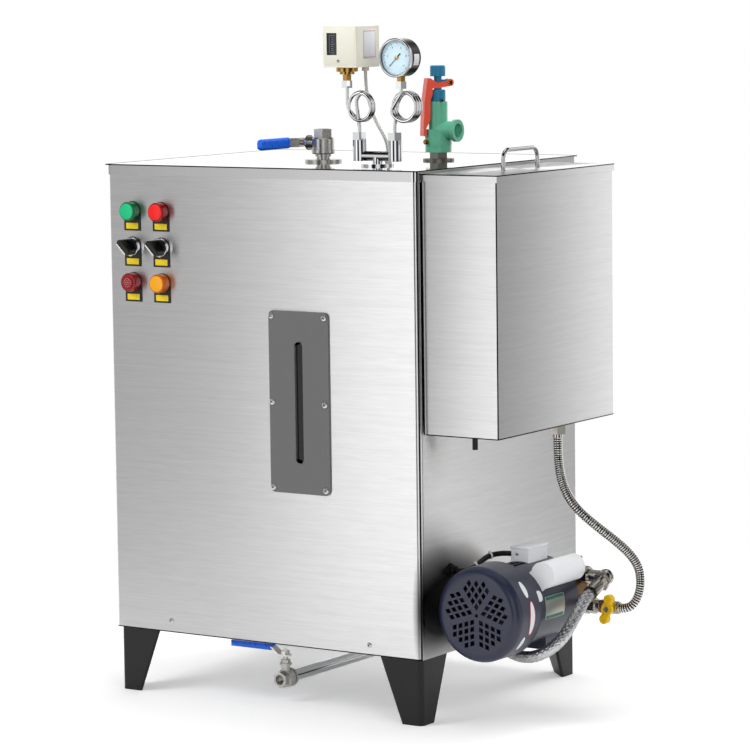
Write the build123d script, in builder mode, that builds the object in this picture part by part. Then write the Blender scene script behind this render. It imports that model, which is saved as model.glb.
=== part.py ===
from build123d import *
import os
from math import cos, pi, radians, sin, sqrt, tan

os.makedirs("parts", exist_ok=True)

# An electric steam generator: a folded steel cabinet on four legs, with a water
# tank and a feed pump on its right side and its gauges and valves on the roof.
# Millimetres, +Z up, the front faces -Y. The origin is on the floor, under the
# middle of the whole machine.

# Cabinet
cabinet_w = 565.0
cabinet_d = 460.0
cabinet_h = 720.0
sheet = 1.2
fold_r = 8.0
corner_wrap = 14.0
roof_skirt = 16.0
roof_gap = 0.3
roof_fold_r = 2.0
base_rim = 20.0

# Legs
leg_h = 100.0
leg_inset = 5.0
leg_top = 78.0
leg_foot = 40.0
leg_corner_r = 8.0
leg_inner_r = 3.0

# Controls on the front
control_first_x = 47.5
control_pitch_x = 54.5
control_top_z = 649.0
control_pitch_z = 54.5
legend_w = 30.5
legend_drop = 30.0
legend_t = 1.2
lens_r = 14.5
lens_l = 14.3
lens_edge_r = 2.5
buzzer_cap_r = 9.0
buzzer_cap_t = 1.2
bezel_l = 7.0
bezel_floor = 1.0
bezel_bore_r = 11.0
running_gap = 0.05
face_gap = 0.4
knob_reach = 27.0
fin_l = 29.0
fin_t = 10.0
fin_angle = -45.0

# Sight window
window_x = 354.0
window_z = 370.5
window_w = 107.0
window_h = 274.0
window_t = 3.0
window_corner_r = 8.0
slot_w = 14.5
slot_h = 182.5
glass_t = 5.0
glass_lap = 6.0

# Water tank
tank_out = 128.0
tank_l = 338.0
tank_front = 10.0
tank_base_z = 334.0
tank_h = 380.3
lid_skirt = 10.4
lid_gap = 1.0
lid_side_gap = 1.0
handle_from_side = 76.0
handle_from_front = 155.0
handle_span = 98.0
handle_h = 34.0
handle_wire_r = 3.25
handle_bend_r = 14.0
outlet_from_side = 97.0
outlet_from_front = 232.0
outlet_nut_af = 24.0
outlet_nut_l = 18.0
outlet_pipe_r = 7.5
outlet_drop = 24.0
outlet_wall = 2.0
outlet_in = 6.0
stub_from_side = 35.0
stub_from_front = 97.0
stub_r = 4.2
stub_wall = 1.2
stub_drop = 30.0
stub_flange_r = 8.0
stub_flange_t = 4.0
fit_gap = 0.2

# Feed pump
motor_out = 83.0
motor_front = 18.0
motor_z = 72.0
cover_r = 71.0
cover_l = 56.0
cover_wall = 2.0
cover_edge_r = 14.0
cover_rim_w = 1.6
cover_rim_h = 0.8
cover_rim_out = 2.0
grille_r = 55.0
grille_pitch = 10.5
grille_hole = 7.0
grille_sectors = 5
grille_hub_r = 2.8
grille_start = 4.5
body_r = 56.0
body_l = 136.0
shoulder_l = 8.0
fin_depth = 6.0
touch_gap = 0.05
cooling_fin_t = 2.0
cooling_fin_step = 9.0
cooling_fins = 24
cooling_fin_first = 158.0
smooth_side_from = 12.0
smooth_side_to = 150.0
foot_w = 64.0
foot_l = 42.0
foot_back = 6.0
shelf_t = 3.0
shelf_h = 46.0
box_w = 31.0
box_l = 56.0
box_top = 83.0
box_back = 12.0
capacitor_r = 20.0
capacitor_l = 94.0
capacitor_out = 57.0
capacitor_up = 50.0
capacitor_edge_r = 3.0
capacitor_back = 4.0
capacitor_plate_t = 3.0
capacitor_plate_w = 34.0
capacitor_strap_w = 14.0
capacitor_strap_in = 20.0
adaptor_r = 50.0
adaptor_l = 10.0
pump_r = 48.0
pump_l = 46.0
port_r = 13.0
port_bore_r = 7.5
port_reach = 50.0
port_y = 26.0
upper_port_z = 30.0
lower_port_z = -15.0
bleed_r = 5.5
bleed_h = 15.0
elbow_r = 12.5
elbow_out = 38.0
elbow_drop_angle = 20.0
elbow_nut_l = 8.0
ferrule_r = 10.5
ferrule_neck_r = 9.2
ferrule_neck_l = 7.0
ferrule_l = 30.0
union_af = 24.0
union_l = 22.0
union_step = 9.0
union_waist = 1.6
collar_r = 8.5
collar_l = 16.0
collar_ring_r = 10.0
collar_ring_l = 4.0
hose_valve_l = 24.0
hose_valve_r = 10.0
hose_valve_stem = 14.0
butterfly_l = 46.0
butterfly_w = 12.0
butterfly_t = 7.0
butterfly_boss_r = 7.5
butterfly_boss_t = 10.0
butterfly_turn = -14.0

# Hoses and cables
steel_hose_r = 7.2
braided_hose_r = 9.0
motor_cable_r = 4.0
feed_y = 138.0
feed_z = 12.0
feed_af = 22.0
feed_l = 14.0
gland_y = 77.0
gland_z = 124.0
gland_r = 9.0
gland_l = 12.0
switch_cable_r = 2.5
switch_gland_r = 5.5
switch_gland_l = 6.0
cable_from_switch_x = 16.0
cable_from_switch_y = 26.0
cable_entry_x = -8.0
cable_entry_y = 42.0

# Ball valves
valve_half_l = 21.0
valve_mouth_l = 13.0
valve_body_r = 17.0
valve_body_l = 17.0
valve_groove_w = 1.2
valve_groove_t = 1.2
valve_ring_r = 18.0
valve_ring_l = 7.0
valve_ring_edge = 1.8
valve_neck_r = 12.5
valve_af = 26.5
valve_bore_r = 9.3
valve_bore_l = 15.0
bonnet_r = 8.5
bonnet_drop = 11.0
bonnet_flange_r = 11.5
bonnet_flange_t = 3.0
gland_nut_r = 6.5
gland_nut_l = 5.0
stem_r = 4.0
stem_out = 38.0
lever_t = 2.5
lever_w = 14.0
lever_flat = 10.0
lever_step = 10.0
lever_bend = 12.0
lever_l = 96.0
grip_l = 72.0
grip_t = 9.0
grip_w = 17.0
grip_tip = 3.0
grip_tip_r = 6.0
lever_bolt_r = 2.6
lever_bolt_l = 3.0
lever_nut_af = 12.0
lever_nut_t = 5.0
steam_valve_x = 285.5
steam_valve_y = 172.0
steam_valve_z = 29.0
steam_flange_r = 28.5
steam_flange_t = 3.5
steam_nipple_r = 10.5
drain_scale = 0.82
drain_stem_out = 35.0
drain_valve_y = 54.0
drain_valve_z = -64.0
drain_pipe_r = 8.6
drain_pipe_back = 320.0
drain_bend_r = 26.0

# Gauge manifold
manifold_x = 426.0
manifold_y = 109.0
manifold_span = 63.0
manifold_bar_z = 14.0
manifold_bar_r = 7.5
manifold_arm_r = 10.5
manifold_arm_h = 38.0
manifold_flange_r = 25.0
manifold_flange_t = 3.0
arm_nut_af = 20.0
arm_nut_l = 12.0

# Siphon tubes
siphon_r = 2.8
siphon_pitch = 6.2
coil_r = 21.0
coil_rise = 38.0
coil_sides = 12
gauge_turns = 3
switch_turns = 2
gauge_lead = 19.0
switch_lead = -26.0
switch_coil_offset = 3.0
coil_clearance = 1.2
joint_z = 115.0
siphon_nut_af = 16.0
siphon_nut_l = 11.0

# Pressure gauge
gauge_r = 28.5
gauge_l = 28.0
gauge_z = 161.0
gauge_front = 16.0
gauge_wall = 2.5
gauge_dial_depth = 5.0
gauge_dial_t = 1.0
gauge_glass_t = 1.5
gauge_stem_r = 7.0
gauge_nut_af = 12.0
gauge_nut_l = 7.0
pointer_l = 20.0
pointer_tail = 8.0
pointer_w = 2.2
pointer_t = 0.8
pointer_angle = 225.0

# Pressure switch
switch_w = 61.0
switch_d = 64.0
switch_h = 62.0
switch_front = 14.0
case_shift = 1.0
switch_z = 146.0
switch_edge_r = 2.5
bellows_r = 16.5
bellows_h = 6.5
bellows_step_r = 11.5
bellows_step_h = 4.0
bellows_neck_r = 5.0
switch_nut_af = 12.5
switch_nut_l = 9.0

# Safety valve
safety_x = 438.0
safety_y = 261.0
safety_flange_r = 24.0
safety_flange_t = 3.0
safety_hex_af = 26.0
safety_hex_h = 10.0
safety_ring_r = 20.0
safety_ring_h = 9.0
safety_body_r = 20.5
safety_body_h = 26.0
safety_groove_t = 0.8
safety_groove_w = 1.2
safety_neck_r = 14.5
safety_neck_h = 42.0
safety_bonnet_r = 11.6
safety_bonnet_h = 18.0
safety_stem_r = 6.0
safety_stem_h = 20.5
safety_cap_r = 11.8
safety_cap_h = 16.5
safety_cap_edge_r = 2.5
safety_outlet_r = 17.0
safety_outlet_t = 6.0
safety_outlet_neck_r = 14.0
safety_outlet_out = 36.0
safety_outlet_rise = 24.0
safety_bore_r = 11.0
safety_bore_l = 14.0

# Its lifting lever: a channel that hooks over the stem to a pin on the far side
lever_facing = 230.0
lever_half_w = 9.0
lever_wall = 2.1
lever_pin_back = 17.5
lever_pin_up = 10.8
lever_eye_r = 5.5
lever_pin_r = 2.5
lever_arm_drop = 5.0
lever_top = 19.0
lever_tip = 26.5
lever_tail_drop = 84.0
lug_half_w = 5.0

# Places worked out from the sizes
side_reach = motor_out + port_reach + union_l + collar_l + hose_valve_l
roof_over = roof_gap + sheet
left_x = roof_over - (roof_over + cabinet_w + side_reach) / 2
right_x = left_x + cabinet_w
mid_x = left_x + cabinet_w / 2
front_y = -(cabinet_d + roof_over - knob_reach) / 2
back_y = front_y + cabinet_d
mid_y = front_y + cabinet_d / 2
base_z = leg_h
roof_z = base_z + cabinet_h
wall_h = cabinet_h - sheet
front_face = Plane.XZ.offset(-front_y)


def save(builder, name):
    builder.part.label = name
    export_step(builder.part, f"parts/{name}.step")


def along(x, y, z, direction, side=(0, 0, 1)):
    """A plane at a point, its normal along a direction."""
    return Plane(origin=(x, y, z), x_dir=side, z_dir=direction)


def disc(plane, start, length, radius):
    with BuildSketch(plane.offset(start)) as circle:
        Circle(radius)
    extrude(circle.sketch, amount=length)


def hexagon(plane, start, length, across_flats):
    with BuildSketch(plane.offset(start)) as nut:
        RegularPolygon(across_flats / 2, 6, major_radius=False)
    extrude(nut.sketch, amount=length)


def hole(plane, start, length, radius):
    with BuildSketch(plane.offset(start)) as circle:
        Circle(radius)
    extrude(circle.sketch, amount=length, mode=Mode.SUBTRACT)


def outline(*points):
    with BuildLine() as edge:
        Polyline(*points, close=True)
    make_face(edge.edges())


# Cabinet walls: one rounded ring of sheet, parted where the front returns
def wall_outline(x, y, width, depth):
    with Locations((mid_x, mid_y)):
        RectangleRounded(cabinet_w, cabinet_d, fold_r)
        RectangleRounded(cabinet_w - 2 * sheet, cabinet_d - 2 * sheet, fold_r - sheet, mode=Mode.SUBTRACT)
    with Locations((x, y)):
        Rectangle(width, depth, mode=Mode.INTERSECT)


with BuildPart() as front_panel:
    with BuildSketch(Plane.XY.offset(base_z)):
        wall_outline(mid_x, front_y + corner_wrap / 2, cabinet_w, corner_wrap)
    extrude(amount=wall_h)
    with BuildSketch(front_face):
        with Locations((left_x + window_x, base_z + window_z)):
            RectangleRounded(slot_w, slot_h, 2)
    extrude(amount=-sheet, mode=Mode.SUBTRACT)
save(front_panel, "front_panel")

with BuildPart() as cabinet_wrap:
    with BuildSketch(Plane.XY.offset(base_z)):
        wall_outline(mid_x, mid_y + corner_wrap / 2, cabinet_w, cabinet_d - corner_wrap)
    extrude(amount=wall_h)
save(cabinet_wrap, "cabinet_wrap")

# The roof is a tray turned upside down, which laps over the walls
roof_rim_z = roof_z - roof_skirt
with BuildPart() as roof_cover:
    with BuildSketch(Plane.XY.offset(roof_rim_z)):
        with Locations((mid_x, mid_y)):
            RectangleRounded(cabinet_w + 2 * roof_over, cabinet_d + 2 * roof_over, fold_r + roof_over)
    extrude(amount=roof_skirt)
    fillet(roof_cover.faces().sort_by(Axis.Z)[-1].edges(), roof_fold_r)
    with BuildSketch(Plane.XY.offset(roof_rim_z)):
        with Locations((mid_x, mid_y)):
            RectangleRounded(cabinet_w + 2 * roof_gap, cabinet_d + 2 * roof_gap, fold_r + roof_gap)
    extrude(amount=roof_skirt - sheet, mode=Mode.SUBTRACT)
save(roof_cover, "roof_cover")

drain_plane = along(mid_x, front_y + drain_pipe_back, base_z, (0, 0, 1), (1, 0, 0))
with BuildPart() as base_pan:
    with BuildSketch(Plane.XY.offset(base_z)):
        with Locations((mid_x, mid_y)):
            RectangleRounded(cabinet_w - 2 * sheet, cabinet_d - 2 * sheet, fold_r - sheet)
    extrude(amount=base_rim)
    with BuildSketch(Plane.XY.offset(base_z + sheet)):
        with Locations((mid_x, mid_y)):
            RectangleRounded(cabinet_w - 4 * sheet, cabinet_d - 4 * sheet, fold_r - 2 * sheet)
    extrude(amount=base_rim, mode=Mode.SUBTRACT)
    hole(drain_plane, 0, sheet, drain_pipe_r + fit_gap)
save(base_pan, "base_pan")


# Legs: a closed three-cornered section that tapers to the floor
def leg_outline(size, corner_x, corner_y, turn_x, turn_y):
    far_x = corner_x + turn_x * size
    far_y = corner_y + turn_y * size
    with BuildLine() as edge:
        FilletPolyline(
            (corner_x, corner_y),
            (far_x, corner_y),
            (corner_x, far_y),
            radius=[leg_corner_r, leg_inner_r, leg_inner_r],
            close=True,
        )
    make_face(edge.edges())


leg_corners = [
    (left_x + leg_inset, front_y + leg_inset, 1, 1),
    (right_x - leg_inset, front_y + leg_inset, -1, 1),
    (left_x + leg_inset, back_y - leg_inset, 1, -1),
    (right_x - leg_inset, back_y - leg_inset, -1, -1),
]
with BuildPart() as legs:
    for corner in leg_corners:
        with BuildSketch(Plane.XY) as foot:
            leg_outline(leg_foot, *corner)
        with BuildSketch(Plane.XY.offset(base_z)) as head:
            leg_outline(leg_top, *corner)
        loft([foot.sketch.face(), head.sketch.face()])
save(legs, "legs")

# Controls
control_x = [left_x + control_first_x + i * control_pitch_x for i in range(2)]
control_z = [base_z + control_top_z - i * control_pitch_z for i in range(3)]

with BuildPart() as legend_plates:
    with BuildSketch(front_face):
        for x in control_x:
            for z in control_z:
                with Locations((x, z)):
                    Circle(legend_w / 2)
                with Locations((x, z - legend_drop / 2)):
                    Rectangle(legend_w, legend_drop)
    extrude(amount=legend_t)
save(legend_plates, "legend_plates")

legend_face = front_face.offset(legend_t)


def lens(x, z, name):
    with BuildPart() as lamp:
        with BuildSketch(legend_face):
            with Locations((x, z)):
                Circle(lens_r)
        extrude(amount=lens_l)
        fillet(lamp.faces().sort_by(Axis.Y)[0].edges(), lens_edge_r)
    save(lamp, name)


lens(control_x[0], control_z[0], "lamp_green")
lens(control_x[1], control_z[0], "lamp_red")
lens(control_x[1], control_z[2], "lamp_amber")

with BuildPart() as buzzer:
    with BuildSketch(legend_face):
        with Locations((control_x[0], control_z[2])):
            Circle(lens_r)
    extrude(amount=lens_l)
    fillet(buzzer.faces().sort_by(Axis.Y)[0].edges(), lens_edge_r)
    with BuildSketch(legend_face.offset(lens_l)):
        with Locations((control_x[0], control_z[2])):
            Circle(buzzer_cap_r)
    extrude(amount=buzzer_cap_t)
save(buzzer, "buzzer")

with BuildPart() as selector_bezels:
    with BuildSketch(legend_face):
        for x in control_x:
            with Locations((x, control_z[1])):
                Circle(lens_r)
    extrude(amount=bezel_l)
    chamfer(selector_bezels.faces().sort_by(Axis.Y)[:2].edges(), 0.8)
    with BuildSketch(legend_face.offset(bezel_floor)):
        for x in control_x:
            with Locations((x, control_z[1])):
                Circle(bezel_bore_r)
    extrude(amount=bezel_l, mode=Mode.SUBTRACT)
save(selector_bezels, "selector_bezels")

for x, name in zip(control_x, ("selector_knob_left", "selector_knob_right")):
    with BuildPart() as knob:
        with BuildSketch(legend_face.offset(bezel_floor + face_gap)):
            with Locations((x, control_z[1])):
                Circle(bezel_bore_r - running_gap)
        extrude(amount=bezel_l - bezel_floor)
        with BuildSketch(legend_face.offset(bezel_l + face_gap)):
            with Locations((x, control_z[1])):
                SlotOverall(fin_l, fin_t, rotation=fin_angle)
        extrude(amount=knob_reach - legend_t - bezel_l - face_gap)
        fillet(knob.faces().sort_by(Axis.Y)[0].edges(), 1.5)
    save(knob, name)

# Sight window
with BuildPart() as window_plate:
    with BuildSketch(front_face):
        with Locations((left_x + window_x, base_z + window_z)):
            RectangleRounded(window_w, window_h, window_corner_r)
            RectangleRounded(slot_w, slot_h, 2, mode=Mode.SUBTRACT)
    extrude(amount=window_t)
save(window_plate, "window_plate")

with BuildPart() as sight_glass:
    with BuildSketch(front_face.offset(-sheet)):
        with Locations((left_x + window_x, base_z + window_z)):
            Rectangle(slot_w + 2 * glass_lap, slot_h + 2 * glass_lap)
    extrude(amount=-glass_t)
save(sight_glass, "sight_glass")

# Water tank
tank_left = right_x + roof_over
tank_w = tank_out - roof_over
tank_x = tank_left + tank_w / 2
tank_y = front_y + tank_front + tank_l / 2
tank_z = base_z + tank_base_z
outlet_x = right_x + outlet_from_side
outlet_y = front_y + outlet_from_front
stub_x = right_x + stub_from_side
stub_y = front_y + stub_from_front

with BuildPart() as water_tank:
    with BuildSketch(Plane.XY.offset(tank_z)):
        with Locations((tank_x, tank_y)):
            RectangleRounded(tank_w, tank_l, sheet)
    extrude(amount=tank_h)
    with BuildSketch(Plane.XY.offset(tank_z + sheet)):
        with Locations((tank_x, tank_y)):
            Rectangle(tank_w - 2 * sheet, tank_l - 2 * sheet)
    extrude(amount=tank_h, mode=Mode.SUBTRACT)
    with BuildSketch(Plane.XY.offset(tank_z)):
        with Locations((outlet_x, outlet_y)):
            Circle(outlet_pipe_r + fit_gap)
        with Locations((stub_x, stub_y)):
            Circle(stub_r + fit_gap)
    extrude(amount=sheet, mode=Mode.SUBTRACT)
save(water_tank, "water_tank")

lid_z = tank_z + tank_h
lid_over = lid_gap + sheet
lid_left = tank_left + lid_side_gap
lid_w = tank_w - lid_side_gap + lid_over
lid_l = tank_l + 2 * lid_over
lid_x = lid_left + lid_w / 2
with BuildPart() as tank_lid:
    with BuildSketch(Plane.XY.offset(lid_z - lid_skirt + sheet)):
        with Locations((lid_x, tank_y)):
            Rectangle(lid_w, lid_l)
    extrude(amount=lid_skirt)
    with BuildSketch(Plane.XY.offset(lid_z - lid_skirt + sheet)):
        with Locations((lid_x - sheet / 2 - sheet, tank_y)):
            Rectangle(lid_w + sheet, lid_l - 2 * sheet)
    extrude(amount=lid_skirt - sheet, mode=Mode.SUBTRACT)
save(tank_lid, "tank_lid")

handle_x = right_x + handle_from_side
handle_y = front_y + handle_from_front + tank_front
handle_top = lid_z + sheet + handle_h - handle_wire_r
with BuildPart() as lid_handle:
    with BuildLine() as bail:
        FilletPolyline(
            (handle_x, handle_y - handle_span / 2, lid_z + sheet),
            (handle_x, handle_y - handle_span / 2, handle_top),
            (handle_x, handle_y + handle_span / 2, handle_top),
            (handle_x, handle_y + handle_span / 2, lid_z + sheet),
            radius=handle_bend_r,
        )
    with BuildSketch(Plane(origin=bail.line @ 0, z_dir=bail.line % 0)):
        Circle(handle_wire_r)
    sweep()
save(lid_handle, "lid_handle")

outlet_plane = along(outlet_x, outlet_y, tank_z, (0, 0, -1), (1, 0, 0))
with BuildPart() as tank_outlet:
    hexagon(outlet_plane, 0, outlet_nut_l, outlet_nut_af)
    disc(outlet_plane, -outlet_in - sheet, outlet_in + sheet + outlet_drop, outlet_pipe_r)
    hole(outlet_plane, -outlet_in - sheet, outlet_in + sheet + outlet_drop, outlet_pipe_r - outlet_wall)
save(tank_outlet, "tank_outlet")

stub_plane = along(stub_x, stub_y, tank_z, (0, 0, -1), (1, 0, 0))
with BuildPart() as tank_overflow:
    disc(stub_plane, 0, stub_flange_t, stub_flange_r)
    disc(stub_plane, -outlet_in - sheet, outlet_in + sheet + stub_drop, stub_r)
    hole(stub_plane, -outlet_in - sheet, outlet_in + sheet + stub_drop, stub_r - stub_wall)
save(tank_overflow, "tank_overflow")

# Pump motor: axis along Y, the fan end at the front
motor_x = right_x + motor_out
motor_axis_z = base_z + motor_z
cover_front = front_y + motor_front
body_front = cover_front + cover_l
body_back = body_front + body_l
motor_plane = along(motor_x, cover_front, motor_axis_z, (0, 1, 0))


def grille_holes():
    """Lozenges between the two edges of each sector, as far out as they fit."""
    for sector in range(grille_sectors):
        turn = 360 / grille_sectors
        first = radians(90 + turn / 2 + sector * turn)
        second = first + radians(turn)
        steps = int(grille_r / grille_pitch) + 1
        for i in range(steps):
            for j in range(steps):
                a = grille_start + i * grille_pitch
                b = grille_start + j * grille_pitch
                corners = []
                for da, db in ((0, 0), (grille_hole, 0), (grille_hole, grille_hole), (0, grille_hole)):
                    x = (a + da) * cos(first) + (b + db) * cos(second)
                    z = (a + da) * sin(first) + (b + db) * sin(second)
                    corners.append((x, z))
                if max(sqrt(x * x + z * z) for x, z in corners) < grille_r:
                    outline(*corners)


with BuildPart() as fan_cover:
    disc(motor_plane, 0, cover_l, cover_r)
    fillet(fan_cover.faces().sort_by(Axis.Y)[0].edges(), cover_edge_r)
    offset(amount=-cover_wall, openings=fan_cover.faces().sort_by(Axis.Y)[-1])
    with BuildSketch(motor_plane) as rim:
        Circle(grille_r + cover_rim_out)
        Circle(grille_r + cover_rim_out - cover_rim_w, mode=Mode.SUBTRACT)
    extrude(rim.sketch, amount=-cover_rim_h)
    with BuildSketch(along(motor_x, cover_front, motor_axis_z, (0, -1, 0), (1, 0, 0))):
        grille_holes()
        Circle(grille_hub_r)
    extrude(amount=-cover_wall, mode=Mode.SUBTRACT)
save(fan_cover, "fan_cover")

shelf_z = base_z
foot_z = shelf_z + shelf_t
foot_y = body_back - foot_back - foot_l / 2
fin_root = 0.5
foot_sink = 12.0
with BuildPart() as motor_body:
    disc(motor_plane, cover_l - shoulder_l, shoulder_l, cover_r - cover_wall - fit_gap)
    disc(motor_plane, cover_l, shoulder_l, cover_r)
    disc(motor_plane, cover_l, body_l, body_r)
    disc(motor_plane, cover_l + body_l - shoulder_l, shoulder_l, body_r + fin_depth)
    with BuildSketch(motor_plane.offset(cover_l)):
        with PolarLocations(
            body_r + fin_depth / 2 - fin_root,
            cooling_fins,
            start_angle=cooling_fin_first,
            angular_range=cooling_fin_step * (cooling_fins - 1),
            endpoint=True,
        ):
            Rectangle(fin_depth + 2 * fin_root, cooling_fin_t)
    extrude(amount=body_l)
    with BuildSketch(motor_plane.offset(cover_l)):
        Circle(body_r + fin_depth)
        with BuildLine():
            sides = [radians(a) for a in (smooth_side_from, (smooth_side_from + smooth_side_to) / 2, smooth_side_to)]
            Polyline((0, 0), *[(2 * cover_r * cos(a), 2 * cover_r * sin(a)) for a in sides], close=True)
        make_face(mode=Mode.INTERSECT)
    extrude(amount=body_l)
    disc(motor_plane, cover_l + body_l, adaptor_l, adaptor_r)
    with BuildSketch(Plane.XY.offset(foot_z)):
        with Locations((motor_x, foot_y)):
            Rectangle(foot_w, foot_l)
    extrude(amount=motor_axis_z - foot_z - body_r + foot_sink)
save(motor_body, "motor_body")

with BuildPart() as pump_bracket:
    with BuildSketch(along(0, foot_y - foot_l / 2, 0, (0, 1, 0), (1, 0, 0))):
        with BuildLine():
            Polyline(
                (right_x, -shelf_z),
                (motor_x + foot_w / 2, -shelf_z),
                (motor_x + foot_w / 2, -foot_z),
                (right_x + shelf_t, -foot_z),
                (right_x + shelf_t, -shelf_z - shelf_h),
                (right_x, -shelf_z - shelf_h),
                close=True,
            )
        make_face()
    extrude(amount=foot_l)
save(pump_bracket, "pump_bracket")

with BuildPart() as terminal_box:
    with BuildSketch(Plane.XY.offset(motor_axis_z + body_r - fin_depth)):
        with Locations((motor_x, body_back - box_back - box_l / 2)):
            Rectangle(box_w, box_l)
    extrude(amount=box_top - body_r + fin_depth)
    fillet(terminal_box.edges().filter_by(Axis.Z), 2)
    hole(motor_plane, cover_l, body_l, body_r + fin_depth + touch_gap)
save(terminal_box, "terminal_box")

capacitor_x = motor_x + capacitor_out
capacitor_z = motor_axis_z + capacitor_up
capacitor_plane = along(capacitor_x, body_back - capacitor_back - capacitor_l, capacitor_z, (0, 1, 0))
strap_start = capacitor_plane.origin.Y + capacitor_plate_t
strap_plane = along(motor_x, strap_start, motor_axis_z, (0, 1, 0), (capacitor_out, 0, capacitor_up))
reach = sqrt(capacitor_out**2 + capacitor_up**2)
with BuildPart() as capacitor:
    disc(capacitor_plane, 0, capacitor_l, capacitor_r)
    fillet(capacitor.edges().filter_by(GeomType.CIRCLE), capacitor_edge_r)
    with BuildSketch(strap_plane):
        with Locations((reach - capacitor_strap_in / 2, 0)):
            Rectangle(capacitor_strap_in, capacitor_strap_w)
    extrude(amount=capacitor_l - 2 * capacitor_strap_w)
    with BuildSketch(strap_plane.offset(-capacitor_plate_t)):
        with Locations((reach, 0)):
            Circle(capacitor_r)
        with Locations((reach - capacitor_strap_in / 2, 0)):
            Rectangle(capacitor_strap_in, capacitor_plate_w)
    extrude(amount=capacitor_plate_t)
    hole(motor_plane, cover_l, body_l, body_r + fin_depth + touch_gap)
save(capacitor, "capacitor")

# Pump head: a round casing with two ports on its outer side
pump_front = body_back + adaptor_l
pump_plane = along(motor_x, pump_front, motor_axis_z, (0, 1, 0))
ports_y = pump_front + port_y
port_x = motor_x + port_reach
upper_z = motor_axis_z + upper_port_z
lower_z = motor_axis_z + lower_port_z

with BuildPart() as pump_head:
    disc(pump_plane, 0, pump_l, pump_r)
    fillet(pump_head.faces().sort_by(Axis.Y)[-1].edges(), 4)
    with BuildSketch(Plane.YZ.offset(motor_x)):
        with Locations((ports_y, upper_z), (ports_y, lower_z)):
            Circle(port_r)
    extrude(amount=port_reach)
    with BuildSketch(Plane.XY.offset(upper_z)):
        with Locations((port_x - port_r / 2 - 2, ports_y)):
            Circle(bleed_r)
    extrude(amount=port_r + bleed_h)
    with BuildSketch(Plane.YZ.offset(port_x)):
        with Locations((ports_y, upper_z), (ports_y, lower_z)):
            Circle(port_bore_r)
    extrude(amount=-port_reach / 2, mode=Mode.SUBTRACT)
save(pump_head, "pump_head")

elbow_x = port_x + elbow_out
ferrule_start = elbow_r + elbow_nut_l
elbow_angle = radians(elbow_drop_angle)
elbow_way = (0, -cos(elbow_angle), -sin(elbow_angle))
port_plane = along(port_x, ports_y, upper_z, (1, 0, 0))
turned_plane = along(elbow_x, ports_y, upper_z, elbow_way, (1, 0, 0))
with BuildPart() as port_elbow:
    hexagon(port_plane, 0, elbow_nut_l + 2, 2 * elbow_r)
    disc(port_plane, 0, elbow_out, elbow_r - 3)
    with Locations((elbow_x, ports_y, upper_z)):
        Sphere(elbow_r)
    disc(turned_plane, 0, ferrule_start, elbow_r - 3)
    hexagon(turned_plane, elbow_r - 2, elbow_nut_l, 2 * elbow_r)
    disc(turned_plane, ferrule_start - 2, ferrule_l + 2, ferrule_neck_r)
    disc(turned_plane, ferrule_start + ferrule_neck_l, ferrule_l - ferrule_neck_l, ferrule_r)
save(port_elbow, "port_elbow")

lower_plane = along(port_x, ports_y, lower_z, (1, 0, 0))
with BuildPart() as inlet_union:
    hexagon(lower_plane, 0, union_step, union_af)
    disc(lower_plane, 0, union_l, union_af / 2 - union_waist)
    hexagon(lower_plane, union_step + union_waist, union_l - union_step - union_waist, union_af - 2)
    disc(lower_plane, union_l, collar_l, collar_r)
    disc(lower_plane, union_l + collar_ring_l, collar_ring_l, collar_ring_r)
save(inlet_union, "inlet_union")

valve_start = union_l + collar_l
hose_valve_x = port_x + valve_start + hose_valve_l / 2
stem_plane = along(hose_valve_x, ports_y, lower_z, (0, -1, 0))
with BuildPart() as hose_valve:
    disc(lower_plane, valve_start, hose_valve_l, collar_r)
    disc(lower_plane, valve_start + 3, hose_valve_l - 6, hose_valve_r)
    disc(stem_plane, 0, hose_valve_stem - 2, 6.5)
    disc(stem_plane, 0, hose_valve_stem + butterfly_t + 1, stem_r)
save(hose_valve, "hose_valve")

with BuildPart() as butterfly_handle:
    boss_shift = butterfly_l / 2 - butterfly_boss_r
    with BuildSketch(stem_plane.offset(hose_valve_stem)) as wings:
        SlotOverall(butterfly_l, butterfly_w, rotation=butterfly_turn)
        Circle(butterfly_w / 2 + 3)
        Circle(stem_r + running_gap, mode=Mode.SUBTRACT)
    extrude(wings.sketch, amount=butterfly_t)
    with BuildSketch(stem_plane.offset(hose_valve_stem)) as bosses:
        with PolarLocations(boss_shift, 2, start_angle=butterfly_turn):
            Circle(butterfly_boss_r)
    extrude(bosses.sketch, amount=butterfly_boss_t)
    fillet(butterfly_handle.faces().filter_by(Axis.Y).group_by(Axis.Y)[0].edges(), 2)
save(butterfly_handle, "butterfly_handle")


# Hoses: straight runs joined by arcs as large as the runs allow
def bend_radii(points):
    radii = []
    for before, corner, after in zip(points, points[1:], points[2:]):
        inward = Vector(*corner) - Vector(*before)
        outward = Vector(*after) - Vector(*corner)
        half_turn = radians(inward.get_angle(outward)) / 2
        radii.append(0.45 * min(inward.length, outward.length) / tan(half_turn))
    return radii


def hose(points, radius, name):
    radii = bend_radii(points)
    print(name, "bends", [round(r, 1) for r in radii])
    with BuildPart() as tube:
        with BuildLine() as route:
            FilletPolyline(*points, radius=radii)
        with BuildSketch(Plane(origin=route.line @ 0, z_dir=route.line % 0)) as section:
            Circle(radius)
        sweep(section.sketch, path=route.line)
    length = sum(edge.length for edge in route.edges())
    print(name, "length", round(length, 1), "by volume", round(tube.part.volume / (pi * radius**2), 1))
    save(tube, name)


def from_front(x, y, z):
    """A point given from the front panel's lower left corner."""
    return (left_x + x, front_y + y, base_z + z)


feed_plane = along(right_x, front_y + feed_y, base_z + feed_z, (1, 0, 0))
with BuildPart() as feed_fitting:
    hexagon(feed_plane, 0, feed_l - 4, feed_af)
    disc(feed_plane, feed_l - 4, 4, ferrule_r)
save(feed_fitting, "feed_fitting")

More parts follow.
